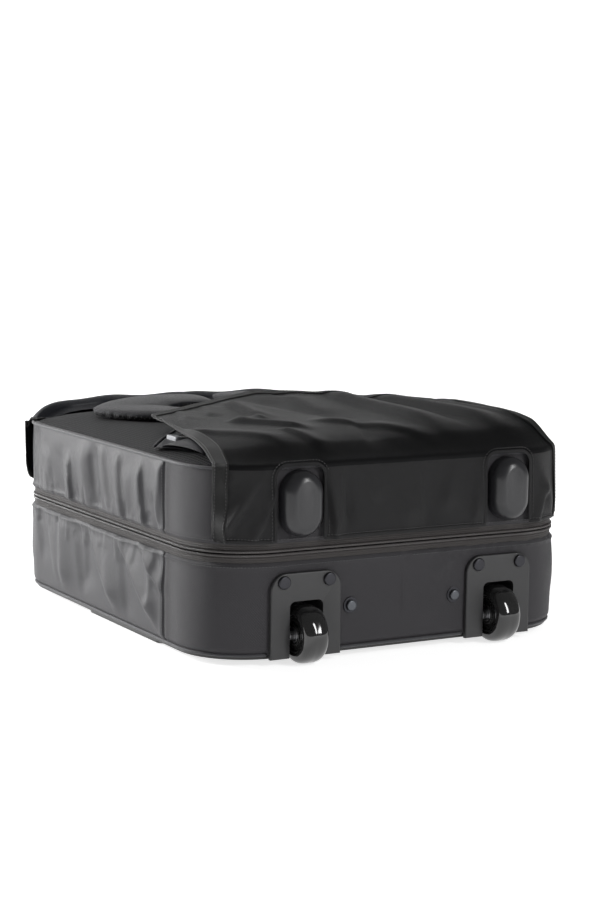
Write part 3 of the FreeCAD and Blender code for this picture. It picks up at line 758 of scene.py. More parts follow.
def zip_teeth(name, up, body, slot):
    """Coil of one half: a half-round rib along the zip, notched at every turn of the coil."""
    s = np.arange(ZIP_FROM, ZIP_TO, 0.325)
    turn = np.linspace(-0.5, 1.15, 8) * math.pi
    pitch = np.abs(np.sin(math.pi * s / 1.3))
    rows = []
    for a in turn:
        out = -0.55 + (0.95 + 0.65 * pitch) * np.maximum(np.cos(a - math.pi / 3), -0.9)
        z = ZIP_MID + up * (1.62 - 1.30 * np.sin(a - math.pi / 3) * np.ones(len(s)))
        rows.append(around(s, out, z))
    return placed(surface(name, np.stack(rows[::-1] if up > 0 else rows), [ZIP_COIL]), body, "zip_coil", slot)


zip_tape("base_zip_tape_cloth", -1, "base", "base_zip_tape")
zip_tape("lid_zip_tape_cloth", 1, "lid", "lid_zip_tape")
zip_teeth("base_zip_teeth", -1, "base", "base_zip_coil")
zip_teeth("lid_zip_teeth", 1, "lid", "lid_zip_coil")

# cloth hinge on the right-hand side, bending from the base to the lid
hinge_s = RIGHT_MID + np.arange(-GUSSET_HALF, GUSSET_HALF + 0.1, 2.0)
hinge_z = np.linspace(88.2, 105.2, 20)
share = (hinge_z - 88.2) / 17.0
ripple = 0.35 * np.sin(hinge_s / 7.1) + 0.25 * np.sin(hinge_s / 3.7 + 1)
hinge_points = np.stack([around(hinge_s, -0.6 + 1.9 * math.sin(math.pi * t) + ripple * math.sin(math.pi * t),
                                np.full(len(hinge_s), h)) for t, h in zip(share, hinge_z)])
hinge_cloth = surface("hinge_cloth", hinge_points, [SATIN])
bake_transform(hinge_cloth)
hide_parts("hinge_gusset")


# ==== harness cover and skirt ====

def free_edge(c):
    """Free edge of the cover for c from -1 (left corner) to 1: flat arch with round corners."""
    side = np.sign(c)
    across = np.abs(c)
    x = np.interp(across, [0, 0.25, 0.5, 0.72, 0.86, 0.93, 0.97, 1.0], [0, 33, 66, 100, 127, 141, 147, 149])
    y = np.interp(across, [0, 0.25, 0.5, 0.72, 0.86, 0.93, 0.97, 1.0], [75, 62, 38, 18, 4, -5, -16, -33])
    return np.stack([side * x, y], -1)


COVER_TENT = [
    (-176, -196, 176), (-170, -170, 182), (-162, -120, 187), (-157, -70, 190.5), (-150, -31, 193),
    (-138, -8, 193), (-88, 22, 196), (-58, 30, 197), (-20, 60, 199), (5, 76, 202), (60, 50, 202),
    (110, 20, 199), (136, -20, 197), (160, -70, 195), (174, -130, 194), (180, -175, 188), (180, -196, 180),
    (-120, -208, 181), (-60, -208, 181), (0, -208, 181), (60, -208, 182), (120, -208, 183),
    (-120, -188, 188), (-60, -188, 187), (0, -188, 188), (60, -188, 189), (120, -188, 191),
    (-100, -160, 192), (-40, -160, 191), (30, -160, 192), (100, -160, 195), (-95, -80, 192),
    (-30, -60, 194), (60, -60, 197), (110, -60, 198), (0, 20, 199)]
COVER_FOLDS = [
    (71, 58, 60, -215, 13, 6.0), (111, 30, 120, -215, 14, 5.5), (30, 52, 8, -80, 10, 2.2),
    (-46, 34, -62, -88, 9, 4.4), (-58, -66, -100, -84, 8, 2.8), (-100, -70, -52, -160, 9, 4.2),
    (-20, 50, 20, -160, 18, -3.2), (91, 40, 92, -195, 9, -3.8), (-108, 4, -130, -64, 8, 2.2),
    (-124, -36, -170, -166, 8, 2.2), (140, -6, 160, -200, 12, 3.4), (-34, -100, 50, -212, 12, 3.4),
    (-156, -104, -98, -204, 10, 2.6), (-72, 20, -100, -46, 7, 1.8), (15, 62, 34, 10, 7, -1.4),
    (-84, -144, -70, -216, 8, 2.8), (10, -110, -24, -212, 10, -2.4), (150, -50, 172, -126, 10, 2.2)]
SKIRT_FOLDS = [
    (-174, 106, -136, 174, 5, 4.4), (-150, 102, -126, 156, 4, 2.6), (-80, 180, -70, 96, 5, 4.6),
    (-62, 178, -58, 112, 4, -2.2), (-180, 146, -148, 176, 5, 2.6), (-24, 180, 12, 106, 12, 2.2),
    (54, 180, 38, 118, 9, 2.4), (128, 180, 168, 104, 7, 3.2), (134, 100, 152, 146, 5, 2.6),
    (170, 180, 174, 104, 6, 2.4), (-132, 178, -140, 120, 5, -2.0), (80, 180, 70, 102, 6, 2.2),
    (-50, 178, -26, 132, 7, 2.0), (20, 176, 24, 104, 8, -1.6)]


def cover_height(x, y):
    """Height of the cover over plan point (x, y): a bent plate with folds on it."""
    return tent(COVER_TENT, x, y, 25.0) + creased(x, y, COVER_FOLDS)


SKIRT_HEM, BROW = 106.5, 172.0


def skirt_out(s, z):
    """How far the skirt stands out from the plan outline: it flares to its hem and closes in at both ends."""
    share = np.clip((z - SKIRT_HEM) / (BROW - SKIRT_HEM), 0, 1)
    closing = 2.8 * smooth((np.abs(s) / WRAP - 0.72) / 0.28)
    calm = 1 - 0.75 * smooth((s / WRAP - 0.8) / 0.2)
    return 4.6 + 1.3 * (1 - share) - closing + 1.4 * creased(s, z, SKIRT_FOLDS) * smooth(1.15 - share) * calm


def cover_points(columns, rows_skirt, rows_top):
    """Grid of the whole cover, from the hem of the skirt over the edge to the free edge.

    The skirt hangs just off the plan outline.  The top runs straight in plan from the
    outline to the free edge, at the cover height, easing over the shoulder between.
    """
    c = np.linspace(-1, 1, columns)
    s = c * WRAP
    t = np.linspace(0, 1, rows_skirt)
    corner = np.clip((np.abs(c) - 0.975) / 0.025, 0, 1)
    hem = SKIRT_HEM + 4.0 * (1 - np.sqrt(1 - corner ** 2))
    grid = []
    for share in t:
        z = hem + (BROW - hem) * share
        grid.append(around(s, skirt_out(s, z), z))
    start, out = outline(s)
    start = start + out * (skirt_out(s, BROW) - 1.0)[:, None]
    end = free_edge(c)
    for share in np.linspace(0, 1, rows_top + 1)[1:] ** 1.15:
        plan = start + (end - start) * share
        rise = np.linalg.norm(plan - start, axis=1)
        shoulder = 1 - (1 - np.clip(rise / 32.0, 0, 1)) ** 2
        height = cover_height(plan[:, 0], plan[:, 1])
        grid.append(np.column_stack([plan, BROW + (height - BROW) * shoulder]))
    grid = np.stack(grid)
    for _ in range(14):
        middle = slice(rows_skirt - 5, rows_skirt + 18)
        before = slice(rows_skirt - 6, rows_skirt + 17)
        after = slice(rows_skirt - 4, rows_skirt + 19)
        grid[middle] = (grid[before] + 2 * grid[middle] + grid[after]) / 4
    return grid


NOTCH_HALF, NOTCH_TOP, NOTCH_ROUND = 23.0, 170.5, 10.0


def in_notch(points):
    """True inside the openings round the two feet: a slot with two round upper corners."""
    dx = np.abs(np.abs(points[..., 0]) - FOOT_X)
    over_x = np.maximum(dx - (NOTCH_HALF - NOTCH_ROUND), 0)
    over_z = np.maximum(points[..., 2] - (NOTCH_TOP - NOTCH_ROUND), 0)
    return (np.hypot(over_x, over_z) < NOTCH_ROUND) & (points[..., 1] < -FLAT_Y)


SKIRT_ROWS = 52
cover_grid = cover_points(300, SKIRT_ROWS, 150)
cell = (cover_grid[:-1, :-1] + cover_grid[1:, 1:] + cover_grid[:-1, 1:] + cover_grid[1:, :-1]) / 4
cover_kind = np.zeros(cell.shape[:2], int)
cover_kind[:SKIRT_ROWS - 4] = 1
cover_cloth = surface("harness_cover_cloth", cover_grid, [BLACK_SATIN, BLACK_BALLISTIC],
                      keep=~in_notch(cell), kind=cover_kind)


def on_cover(o, *nodes):
    """The piece keeps its place, its transform baked into its mesh, and stands for the nodes."""
    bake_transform(o)
    if nodes:
        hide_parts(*nodes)
    return o


on_cover(cover_cloth, "near_skirt", "harness_cover")


def grid_normals(grid):
    """Direction off the cloth at every grid point."""
    return unit(np.cross(np.gradient(grid, axis=1), np.gradient(grid, axis=0)))


cover_off = grid_normals(cover_grid)


def bound_edge(name, edge, inner, off, width=15.0, thick=1.5):
    """Binding tape folded over an edge: a flat strip centred half its width inside it."""
    inward = unit(inner - edge)
    inward = unit(rounded(inward, 8))
    path = edge + inward * (width / 2 - 0.8) + off * 0.25
    tape = swept(name, path, inward, off, oval(width, thick, 14, 5.0), BINDING, taper=1.0)
    seams = [stitched(f"{name}_stitches_{k}", edge + inward * at + off * (0.3 + thick / 2), off, THREAD)
             for k, at in enumerate((2.0, width - 2.6))]
    return [tape, *seams]


def bind_cover():
    """Binding along the two sides and the free edge of the cover; gives back the pieces."""
    made = []
    runs = {
        "cover_left_binding": (cover_grid[:, 0], cover_grid[:, 8], cover_off[:, 1]),
        "cover_right_binding": (cover_grid[:, -1], cover_grid[:, -9], cover_off[:, -2]),
        "cover_free_binding": (cover_grid[-1, :], cover_grid[-8, :], cover_off[-2, :]),
    }
    for name, (edge, inner, off) in runs.items():
        made += [on_cover(piece) for piece in bound_edge(name, edge, inner, off)]
    return made


bind_cover()


def notch_outline(x):
    """Edge of the opening round a foot: up one side, across its top and down the other."""
    turn = np.linspace(0, math.pi / 2, 16)
    flat = NOTCH_HALF - NOTCH_ROUND
    left = np.column_stack([-flat - NOTCH_ROUND * np.cos(turn), NOTCH_TOP - NOTCH_ROUND * (1 - np.sin(turn))])
    half = np.concatenate([[(-NOTCH_HALF, SKIRT_HEM + 1)], left, [(0, NOTCH_TOP)]])
    whole = np.concatenate([half, (half * (-1, 1))[-2::-1]])
    even = resampled(whole, 1.5)
    return x + even[:, 0], even[:, 1]


def on_skirt(x, z, proud):
    """Point of the skirt at plan distance x along the outline and height z, pushed out by proud."""
    s = np.sign(x) * np.where(np.abs(x) < FLAT_X, np.abs(x),
                              FLAT_X + CORNER * np.arcsin(np.clip((np.abs(x) - FLAT_X) / (CORNER + 5), 0, 1)))
    return around(s, skirt_out(s, z) + proud, z), outward_at(s)


for side, x in (("left", -FOOT_X), ("right", FOOT_X)):
    nx, nz = notch_outline(x)
    edge, off = on_skirt(nx, nz, 0.2)
    ahead = unit(np.gradient(edge, axis=0))
    away = unit(np.cross(off, ahead))
    tape = swept(f"foot_notch_hem_{side}", edge + away * 1.0, away, off, oval(3.0, 0.8, 12, 3.0),
                 BLACK_BALLISTIC, taper=1.0)
    placed(tape, "lid", "black_nylon")
    placed(stitched(f"foot_notch_stitches_{side}", edge + away * 4.4 + off * 0.4, off, THREAD),
           "lid", "black_nylon")
hem_spans = [(4 - WRAP, -FOOT_X - NOTCH_HALF), (NOTCH_HALF - FOOT_X, FOOT_X - NOTCH_HALF),
             (FOOT_X + NOTCH_HALF, WRAP - 4)]
for k, (low, high) in enumerate(hem_spans):
    s = np.arange(low, high, 1.5)
    z = np.full(len(s), SKIRT_HEM + 3.5)
    placed(stitched(f"skirt_hem_stitches_{k}", around(s, skirt_out(s, z) + 0.3, z), outward_at(s), THREAD),
           "lid", "black_nylon")
    turned_z = np.full(len(s), SKIRT_HEM + 1.1)
    roll = swept(f"skirt_hem_{k}", around(s, skirt_out(s, turned_z) - 0.1, turned_z), UP, outward_at(s),
                 oval(3.4, 1.6, 12, 3.0), BLACK_BALLISTIC, taper=2.0)
    placed(roll, "lid", "black_nylon")


# ==== far flap ====

FLAP_REACH = WRAP + 14


def far_flap_points():
    """Sheet turned out over the far end: up from the pad, over a ridge and down outside.

    Seen across, it is a path of set points, eased.  Along the outline its ridge sinks
    to the piping at both ends, its hem is rounded there, and it ripples.
    """
    mid = ROUND / 2
    s = np.linspace(mid - FLAP_REACH, mid + FLAP_REACH, 300)
    across = np.abs(s - mid) / FLAP_REACH
    profile = np.array([(-26, 178.6), (-20, 180.0), (-12, 185.0), (-4, 189.0), (2.0, 190.0), (6.5, 186.0),
                        (8.0, 176.0), (8.2, 160.0), (7.8, 140.0), (7.4, 122.0), (7.0, 107.0)])
    path = resampled(rounded(resampled(profile, 4.0), 4), 1.7)
    sink = np.clip((np.abs(s - mid) - 50) / 151, 0, 1) ** 3.4
    corner = 1 - np.sqrt(1 - np.clip((across - 0.82) / 0.19, 0, 1) ** 2)
    rows = []
    for offset, z in path:
        top = smooth((z - 165) / 20)
        low = np.clip((175 - z) / 60, 0, 1)
        height = z - 22.0 * sink * top + 30 * corner * low
        height = np.maximum(height, 171.2) if offset < 4 else height
        height = height + 0.9 * np.sin(across * 17 + 0.6) * top * (offset > -15)
        wave = (1.0 * np.sin((s - mid) / 9.5) + 0.7 * np.sin((s - mid) / 5.3)) * (0.15 + low) * (offset > -8)
        rows.append(around(s, np.where(offset < 0, offset * (1 - 0.85 * sink), offset) + wave, height))
    return np.stack(rows)


flap_grid = far_flap_points()
flap_cloth = surface("far_flap_cloth", flap_grid[::-1], [FLAP_SATIN_SHADE_TINTED])
placed(flap_cloth, "lid", "black_nylon", "far_flap")
flap_off = grid_normals(flap_grid[::-1])[::-1]
flap_runs = {"flap_hem": (flap_grid[-1], flap_grid[-6], flap_off[-2]),
             "flap_left_binding": (flap_grid[:, -1], flap_grid[:, -6], flap_off[:, -2]),
             "flap_right_binding": (flap_grid[:, 0], flap_grid[:, 5], flap_off[:, 1])}
flap_trim = [placed(piece, "lid", "black_nylon") for name, (edge, inner, off) in flap_runs.items()
             for piece in bound_edge(name, edge, inner, off, 10.0, 1.4)]


# ==== harness under the cover ====

def inflated(o, size, pressure, cap, hold_below):
    """The closed shape, remeshed to even cells of size mm and blown up as cloth.

    Points below hold_below stay put, and no point moves more than cap mm.
    """
    remesh = o.modifiers.new("even_cells", "REMESH")
    remesh.mode = "VOXEL"
    remesh.voxel_size = size * MM
    remesh.use_smooth_shade = True
    graph = bpy.context.evaluated_depsgraph_get()
    even = bpy.data.meshes.new_from_object(o.evaluated_get(graph))
    o.modifiers.clear()
    o.data = even
    n = len(even.vertices)
    rest = np.zeros(n * 3, np.float32)
    even.vertices.foreach_get("co", rest)
    rest = rest.reshape(-1, 3)
    group = o.vertex_groups.new(name="held")
    group.add(np.flatnonzero(rest[:, 2] < hold_below * MM).tolist(), 1.0, "REPLACE")
    cloth = o.modifiers.new("stuffing", "CLOTH")
    cloth.settings.quality = 5
    cloth.settings.use_pressure = True
    cloth.settings.uniform_pressure_force = pressure
    cloth.settings.effector_weights.gravity = 0
    cloth.settings.vertex_group_mass = "held"
    cloth.settings.tension_stiffness = 12
    cloth.settings.compression_stiffness = 12
    cloth.settings.bending_stiffness = 0.4
    cloth.point_cache.frame_start = 1
    cloth.point_cache.frame_end = 20
    for at in range(1, 21):
        bpy.context.scene.frame_set(at)
    graph = bpy.context.evaluated_depsgraph_get()
    blown = np.zeros(n * 3, np.float32)
    o.evaluated_get(graph).data.vertices.foreach_get("co", blown)
    o.modifiers.clear()
    move = blown.reshape(-1, 3) - rest
    far = np.linalg.norm(move, axis=1, keepdims=True)
    move *= np.minimum(1, cap * MM / np.maximum(far, 1e-9))
    even.vertices.foreach_set("co", (rest + move).astype(np.float32).ravel())
    even.update()
    bpy.context.scene.frame_set(1)
    fine = o.modifiers.new("fine", "SUBSURF")
    fine.levels = fine.render_levels = 1
    return o


PAD_EDGE, PAD_RISE = 169.5, 8.2


def pillow_height(share):
    """Height of the back pad, share 0 at its rim and 1 at its middle: rise (1 - (1 - share)^7)^0.6."""
    return PAD_EDGE + PAD_RISE * (1 - (1 - share) ** 7) ** 0.6


def pad_top(x, y):
    """Height of the back pad at (x, y)."""
    rim = np.maximum(np.abs(x) / (HALF_X - 3), np.abs(y) / (HALF_Y - 3))
    return pillow_height(1 - np.clip(rim, 0, 1))


def back_pad_points():
    """Closed pillow that fills the back panel: shrinking copies of the plan outline, domed."""
    s = np.arange(0, ROUND, 4.0)
    point, out = outline(s)
    point = point - out * 2.6
    shares = np.concatenate([[0.0], 1 - np.linspace(1, 0.0005, 44) ** 1.6])
    rows = [(0.0005, PAD_EDGE - 0.1), (0.97, PAD_EDGE - 0.1)]
    rows += [(1 - share, pillow_height(share)) for share in shares]
    return np.stack([np.column_stack([point * scale, np.full(len(s), z)]) for scale, z in rows])


back_pad = surface("back_pad_mesh", back_pad_points(), [MESH], wrap=True)
back_pad = inflated(back_pad, 5.0, 3.0, 2.0, 171.0)
placed(back_pad, "lid", "air_mesh", "back_pad")

STRAP_LINE = np.array([(6, 148), (34, 150), (62, 147), (86, 138), (104, 124), (112, 108), (108, 92), (96, 76),
                       (84, 58), (79, 36), (81, 14), (83, -8), (84, -22)], float)


def strap_points(side, thick, wide, narrow):
    """Stuffed strap: an oval section carried along the strap line, closed at both ends.

    Its half width goes from wide, over the shoulder, to narrow at the webbing.
    """
    line = rounded(resampled(STRAP_LINE, 3.0), 14)
    ahead = unit(np.gradient(line, axis=0))
    left = np.stack([-ahead[:, 1], ahead[:, 0]], -1)
    reach = np.arange(len(line)) / (len(line) - 1)
    round_end = np.sqrt(np.clip(1 - np.abs(2 * reach - 1) ** 14, 0, 1))
    turn = np.arange(28) / 28 * 2 * math.pi
    c, n = np.cos(turn), np.sin(turn)
    section = np.stack([np.sign(c) * np.abs(c) ** 0.72, np.sign(n) * np.abs(n) ** 0.8 * thick / 2], -1)
    half = np.interp(reach, [0, 0.6, 0.8, 1], [wide, wide, narrow, narrow]) * round_end
    plan = line[:, None] + left[:, None] * section[None, :, 0, None] * half[:, None, None]
    floor = np.interp(reach, [0, 0.22, 0.45, 0.7, 1], [181.5, 181.0, 177.8, 178.6, 179.2])
    z = floor[:, None] + thick / 2 + section[None, :, 1] * (0.25 + 0.75 * round_end[:, None])
    points = np.concatenate([plan, z[..., None]], -1)
    points[..., 0] *= side
    return points if side > 0 else points[:, ::-1]


def mesh_side(o):
    """Mesh material on the faces of a strap that look down or steeply sideways."""
    turned = np.zeros(len(o.data.polygons) * 3, np.float32)
    o.data.polygons.foreach_get("normal", turned)
    kind = (turned.reshape(-1, 3)[:, 2] < 0.18).astype(np.int32)
    while len(o.data.materials) < 2:
        o.data.materials.append(MESH)
    o.data.polygons.foreach_set("material_index", kind)


for side_name, side in (("left", -1), ("right", 1)):
    strap = surface(f"shoulder_strap_{side_name}", strap_points(side, 10.5, 39.0, 24.0),
                    [STRAP_SATIN, MESH], wrap=True)
    strap = inflated(strap, 4.0, 2.0, 1.0, 180.0)
    mesh_side(strap)
    placed(strap, "lid", "strap", *(["shoulder_straps"] if side < 0 else []))



def harness_panel(side_name, side):
    """Cloth patch over the lower corner of the pad, edged with a cord and a row of stitches."""
    start, end = np.array((side * 180.0, -92.0)), np.array((side * 60.0, 62.0))
    u, v = np.meshgrid(np.linspace(0, 1, 60), np.linspace(0, 1, 60))
    slant = start + (end - start) * u[..., None]
    foot = np.stack([side * (163 - 120 * u), np.full_like(u, -178.0)], -1)
    plan = slant + (foot - slant) * v[..., None]
    z = pad_top(plan[..., 0], plan[..., 1]) + 2.2 * smooth(v / 0.05) * smooth((1.02 - v) / 0.1) + 0.4
    patch = np.concatenate([plan, z[..., None]], -1)
    patch = patch[::-1] if side > 0 else patch
    placed(surface(f"harness_panel_{side_name}", patch, [STRAP_SATIN]), "lid", "strap")
    line = start + (end - start) * np.linspace(0.01, 0.99, 80)[:, None]
    path = np.column_stack([line, pad_top(line[:, 0], line[:, 1]) + 2.0])
    ahead = unit(end - start)
    across = np.array([ahead[1], -ahead[0], 0.0])
    placed(swept(f"harness_panel_edge_{side_name}", path, across, -UP, oval(3.2, 2.2, 12, 2.4), STRAP_SATIN,
                 taper=1.5), "lid", "strap")
    inside = across * side * 4.5
    placed(stitched(f"harness_panel_stitches_{side_name}", path - inside + UP * 0.9, UP, GREY_THREAD),
           "lid", "strap")


def strap_wing(side_name, side):
    """Stuffed triangular pad at the end of a strap: it swells between its stitched edges."""
    a, b, c = np.array((side * 176, -100.0)), np.array((side * 172, -176.0)), np.array((side * 118, -126.0))
    u, v = np.meshgrid(np.linspace(0, 1, 40), np.linspace(0, 1, 40))
    u, v = u[..., None], v[..., None]
    plan = (a * (1 - v) + b * v) * (1 - u) + c * u
    swell = (4 * v * (1 - v) * np.clip(4 * u * (1 - u) + 0.25 * (1 - u), 0, 1))[..., 0] ** 0.6
    z = pad_top(plan[..., 0], plan[..., 1]) + 2.4 + 8.5 * swell
    wing = np.concatenate([plan, z[..., None]], -1)
    wing = wing[:, ::-1] if side < 0 else wing
    wing = surface(f"strap_wing_{side_name}", wing, [STRAP_SATIN])
    placed(wing, "lid", "strap", *(["strap_wings"] if side < 0 else []))


def strap_web(side_name, side):
    """Webbing from the strap through the ladder lock to the wing, seen as one flat strip."""
    line = np.array([(92, -8), (104, -26), (134, -66), (143, -84), (143, -104), (142, -124)], float)
    line = rounded(resampled(line, 3.0), 10)
    line[:, 0] *= side
    height = np.interp(np.linspace(0, 1, len(line)), [0, 0.3, 0.6, 0.8, 1], [184, 181, 181, 183, 187])
    web = np.column_stack([line, height])
    ahead = unit(np.gradient(web, axis=0))
    placed(swept(f"strap_webbing_{side_name}", web, unit(np.cross(UP, ahead)), UP, oval(20, 1.5, 12, 5.0),
                 WEBBING, taper=1.0), "lid", "webbing", *(["strap_webbing"] if side < 0 else []))


for side_name, side in (("left", -1), ("right", 1)):
    harness_panel(side_name, side)
    strap_wing(side_name, side)
    strap_web(side_name, side)

# ==== feet and wheels ====

def foot_points(x):
    """Pill-shaped foot: a stadium outline that shrinks and bulges forward into a dome."""
    turn = np.arange(72) / 72 * 2 * math.pi
    radius, straight = 18.5, 10.0
    stadium_x = radius * np.cos(turn)
    stadium_z = radius * np.sin(turn) + np.where(np.sin(turn) >= 0, straight, -straight)
    rows = []
    for reach in np.linspace(0, math.pi / 2, 22):
        shrink = 9.5 * (1 - math.cos(reach))
        depth = 6.5 + 11.5 * math.sin(reach)
        scale_x, scale_z = 1 - shrink / radius, 1 - shrink / (radius + straight)
        rows.append(np.column_stack([x + stadium_x * scale_x, np.full(72, -HALF_Y - depth),
                                     138.5 + stadium_z * scale_z]))
    last = rows[-1]
    middle = last.mean(0)
    for scale in (0.8, 0.55, 0.3, 0.0005):
        row = middle + (last - middle) * scale
        row[:, 1] -= 0.9 * (1 - scale ** 2)
        rows.append(row)
    base = rows[0].copy()
    base[:, 1] = -HALF_Y + 0.5
    return np.stack([base, *rows])


for side_name, x in (("left", -FOOT_X), ("right", FOOT_X)):
    foot = surface(f"standing_foot_{side_name}", foot_points(x), [FOOT_PLASTIC], wrap=True)
    placed(foot, "lid", "foot_plastic", *(["feet"] if x < 0 else []))


def lathed(name, profile, x, y, z, material, count=96):
    """Body turned about an axis along X: profile is (distance along X, radius)."""
    turn = np.arange(count) / count * 2 * math.pi
    rows = [np.column_stack([np.full(count, x + a), y + r * np.cos(turn), z + r * np.sin(turn)])
            for a, r in profile]
    return surface(name, np.stack(rows), [material], wrap=True)


def tyre_profile():
    """Tread of a skate wheel: |a|^n + r^n = 1 across the width, closed by its flat bore."""
    turn = np.linspace(0, math.pi, 41)
    a = -12 * np.sign(np.cos(turn)) * np.abs(np.cos(turn)) ** 0.72
    r = 16.5 + 9.0 * np.sin(turn) ** 0.62
    groove = 0.18 * bell(a, 0.35)
    ring = list(zip(a, r - groove))
    return [(0, 16.52), (-11.9, 16.52), *ring, (11.9, 16.52), (0, 16.52)]


WHEEL_Y, WHEEL_Z = -HALF_Y - 1.5, 25.5
for side_name, x in (("left", -WHEEL_X), ("right", WHEEL_X)):
    tyre = lathed(f"tyre_{side_name}_tread", tyre_profile(), x, WHEEL_Y, WHEEL_Z, TYRE)
    placed(tyre, f"wheel_{side_name}", "tyre", f"tyre_{side_name}")
    refined(f"wheel_hub_{side_name}", HUB_DARKENED_AS_SHADE, 0.4)
    refined(f"bearings_{side_name}", STEEL, 0.2)
    refined(f"wheel_housing_{side_name}", HOUSING, 0.9)
    refined(f"zip_slider_{side_name}", BOLT, 0.35)
    refined(f"zip_pull_{side_name}", BOLT, 0.3)
    refined(f"lock_pin_{side_name}", STEEL, 0.2)

# how far the edges of each hard part are eased, by finish
HARD_PARTS = (
    (STEEL, "steel", {"wheel_axles": 0.2, "axle_spacers": 0.2, "housing_nuts": 0.3, "push_rods": 0.0,
                      "foot_screws": 0.2}),
    (BOLT, "bolt", {"housing_bolts": 0.3, "trolley_foot_washers": 0.3}),
    (PALE_BOLT, "bolt", {"trolley_foot_bolts": 0.3}),
    (BLACK_PLASTIC, "black_plastic", {"trolley_foot": 0.5, "back_plate": 0.5, "skid_rails": 0.0,
                                      "handle_cup": 0.6, "outer_collars": 0.3, "middle_collars": 0.3,
                                      "grip_core": 0.8, "pin_blocks": 0.2}),
    (TUBE, "tube", {"outer_tubes": 0.0, "middle_tubes": 0.0, "inner_tubes": 0.0}),
    (BUCKLE, "buckle", {"release_button": 0.4, "ladder_locks": 0.6}),
    (BOARD, "board", {"base_floor_board": 0.0}))
for material, slot, parts in HARD_PARTS:
    for node, bevel in parts.items():
        refined(node, material, bevel)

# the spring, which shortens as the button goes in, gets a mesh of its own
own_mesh(refined("button_spring", STEEL))


# ==== inside ====

LINING_IN = -4.9
BOARD_TOP = 38.3


def lining_wall(name, offset, z, body, node, seed, keep=None):
    """Loose lining on the inside of the walls, with slack folds hanging from its upper edge."""
    s = stations(3.0)
    rng = np.random.default_rng(seed)
    slack = [(at, z[-1], at + rng.normal(0, 12), z[0], rng.uniform(5, 11), -rng.uniform(0.3, 0.9))
             for at in np.arange(15, ROUND, 42)]
    fullness = np.sin(math.pi * np.clip((z - z[0]) / (z[-1] - z[0]), 0, 1))
    rows = [around(s, offset + creased(s, h, slack) * f - 0.3 * f, np.full(len(s), h))
            for h, f in zip(z, fullness)]
    points = np.stack(rows)[::-1]
    middle = centres(points)
    o = surface(name, points, [LINING], wrap=True, keep=None if keep is None else keep(middle))
    return placed(o, body, "lining", *node)


def base_lining_kept(p):
    """Where the base lining is: not over the wheel wells, the handle recess or the nuts."""
    wells = (p[..., 1] < -HALF_Y + 35) & (p[..., 2] < 62.2)
    cup = (np.abs(p[..., 0]) < 84) & (p[..., 1] > 180) & (p[..., 2] < 66)
    return ~(wells | cup)


lining_wall("base_lining_cloth", LINING_IN, np.linspace(BOARD_TOP, 88.5, 26), "base", ["base_lining"], 21,
            base_lining_kept)
lining_wall("lid_lining_wall", LINING_IN, np.linspace(104.9, 165.2, 28), "lid", [], 22)


def lid_ceiling():
    """Lining under the back panel of the lid: shrinking copies of the outline, gently slack."""
    s = np.arange(0, ROUND, 5.0)
    point, out = outline(s)
    point = point + out * LINING_IN
    rows = []
    for share in np.linspace(1, 0.0005, 50):
        plan = point * share
        sag = 0.5 * np.sin(plan[:, 0] / 23) * np.sin(plan[:, 1] / 31) * (1 - share ** 6)
        rows.append(np.column_stack([plan, 165.1 - 0.5 * (1 - share ** 8) + sag * 0.6]))
    return np.stack(rows)[::-1]


placed(surface("lid_lining_ceiling", lid_ceiling(), [LINING], wrap=True), "lid", "lining", "lid_lining")


def quilted(px, py):
    """Quilting: pillows between channels 50 mm apart, 1.6 mm deep."""
    across = np.abs(np.sin(math.pi * (px + 150) / 50)) ** 0.5
    along = np.abs(np.sin(math.pi * (py + 184) / 46)) ** 0.5
    edge = smooth((150 - np.abs(px)) / 6) * smooth((183 - np.abs(py)) / 6)
    return 6.2 * edge * (0.45 + 0.55 * across * along) + 0.25


def laptop_pad_points():
    """Top of the quilted pad that lies on the floor board."""
    px, py = np.meshgrid(np.linspace(-150, 150, 130), np.linspace(-181, 183, 150))
    return np.stack([px, py, BOARD_TOP + quilted(px, py)], -1)


laptop_pad = surface("laptop_pad_quilt", laptop_pad_points(), [PADDING])
placed(laptop_pad, "base", "lining", "laptop_pad")


def well_step_points():
    """Padded step over the wheel wells: down its face and back under the lining of the near wall."""
    x = np.linspace(-183.5, 183.5, 140)
    profile = rounded(resampled(np.array([(-215.0, 62.0), (-187.0, 62.2), (-185.2, 61.0), (-185.0, 58.0),
                                          (-185.0, BOARD_TOP)]), 1.5), 3)
    rows = []
    for y, z in profile:
        reach = np.clip(np.abs(y) - FLAT_Y, 0, CORNER + LINING_IN)
        limit = FLAT_X + np.sqrt(np.maximum((CORNER + LINING_IN) ** 2 - reach ** 2, 0))
        px = np.clip(x, -limit, limit)
        ripple = 0.25 * np.sin(px / 11.0) * np.sin(z / 9.0)
        rows.append(np.column_stack([px, np.full(len(x), y) + ripple, np.full(len(x), z) + ripple]))
    return np.stack(rows)[::-1]


placed(surface("well_step_cloth", well_step_points(), [LINING]), "base", "lining", "well_cover")


def pocket_points():
    """Document pocket of the lid: a slack panel whose mouth at the far end hangs open."""
    px, py = np.meshgrid(np.linspace(-150, 150, 100), np.linspace(-185, 120, 110))
    along = (py + 185) / 305
    edge = smooth((150 - np.abs(px)) / 10) * smooth((along + 0.02) / 0.05)
    gather = 0.6 * np.sin(px / 6.0) * smooth((along - 0.8) / 0.2)
    z = 164.6 - edge * (7.0 + 6.5 * along) + gather
    return np.stack([px, py, z], -1)[:, ::-1]


pocket = surface("lid_pocket_cloth", pocket_points(), [LINING])
placed(pocket, "lid", "lining", "lid_pocket")
mouth = pocket_points()[-1]
placed(swept("lid_pocket_binding", mouth[::-1], np.array([0, 1.0, 0]), UP,
             oval(14, 2.2, 12, 4.0), BINDING, taper=1.5), "lid", "lining")

# ==== room, light and camera ====

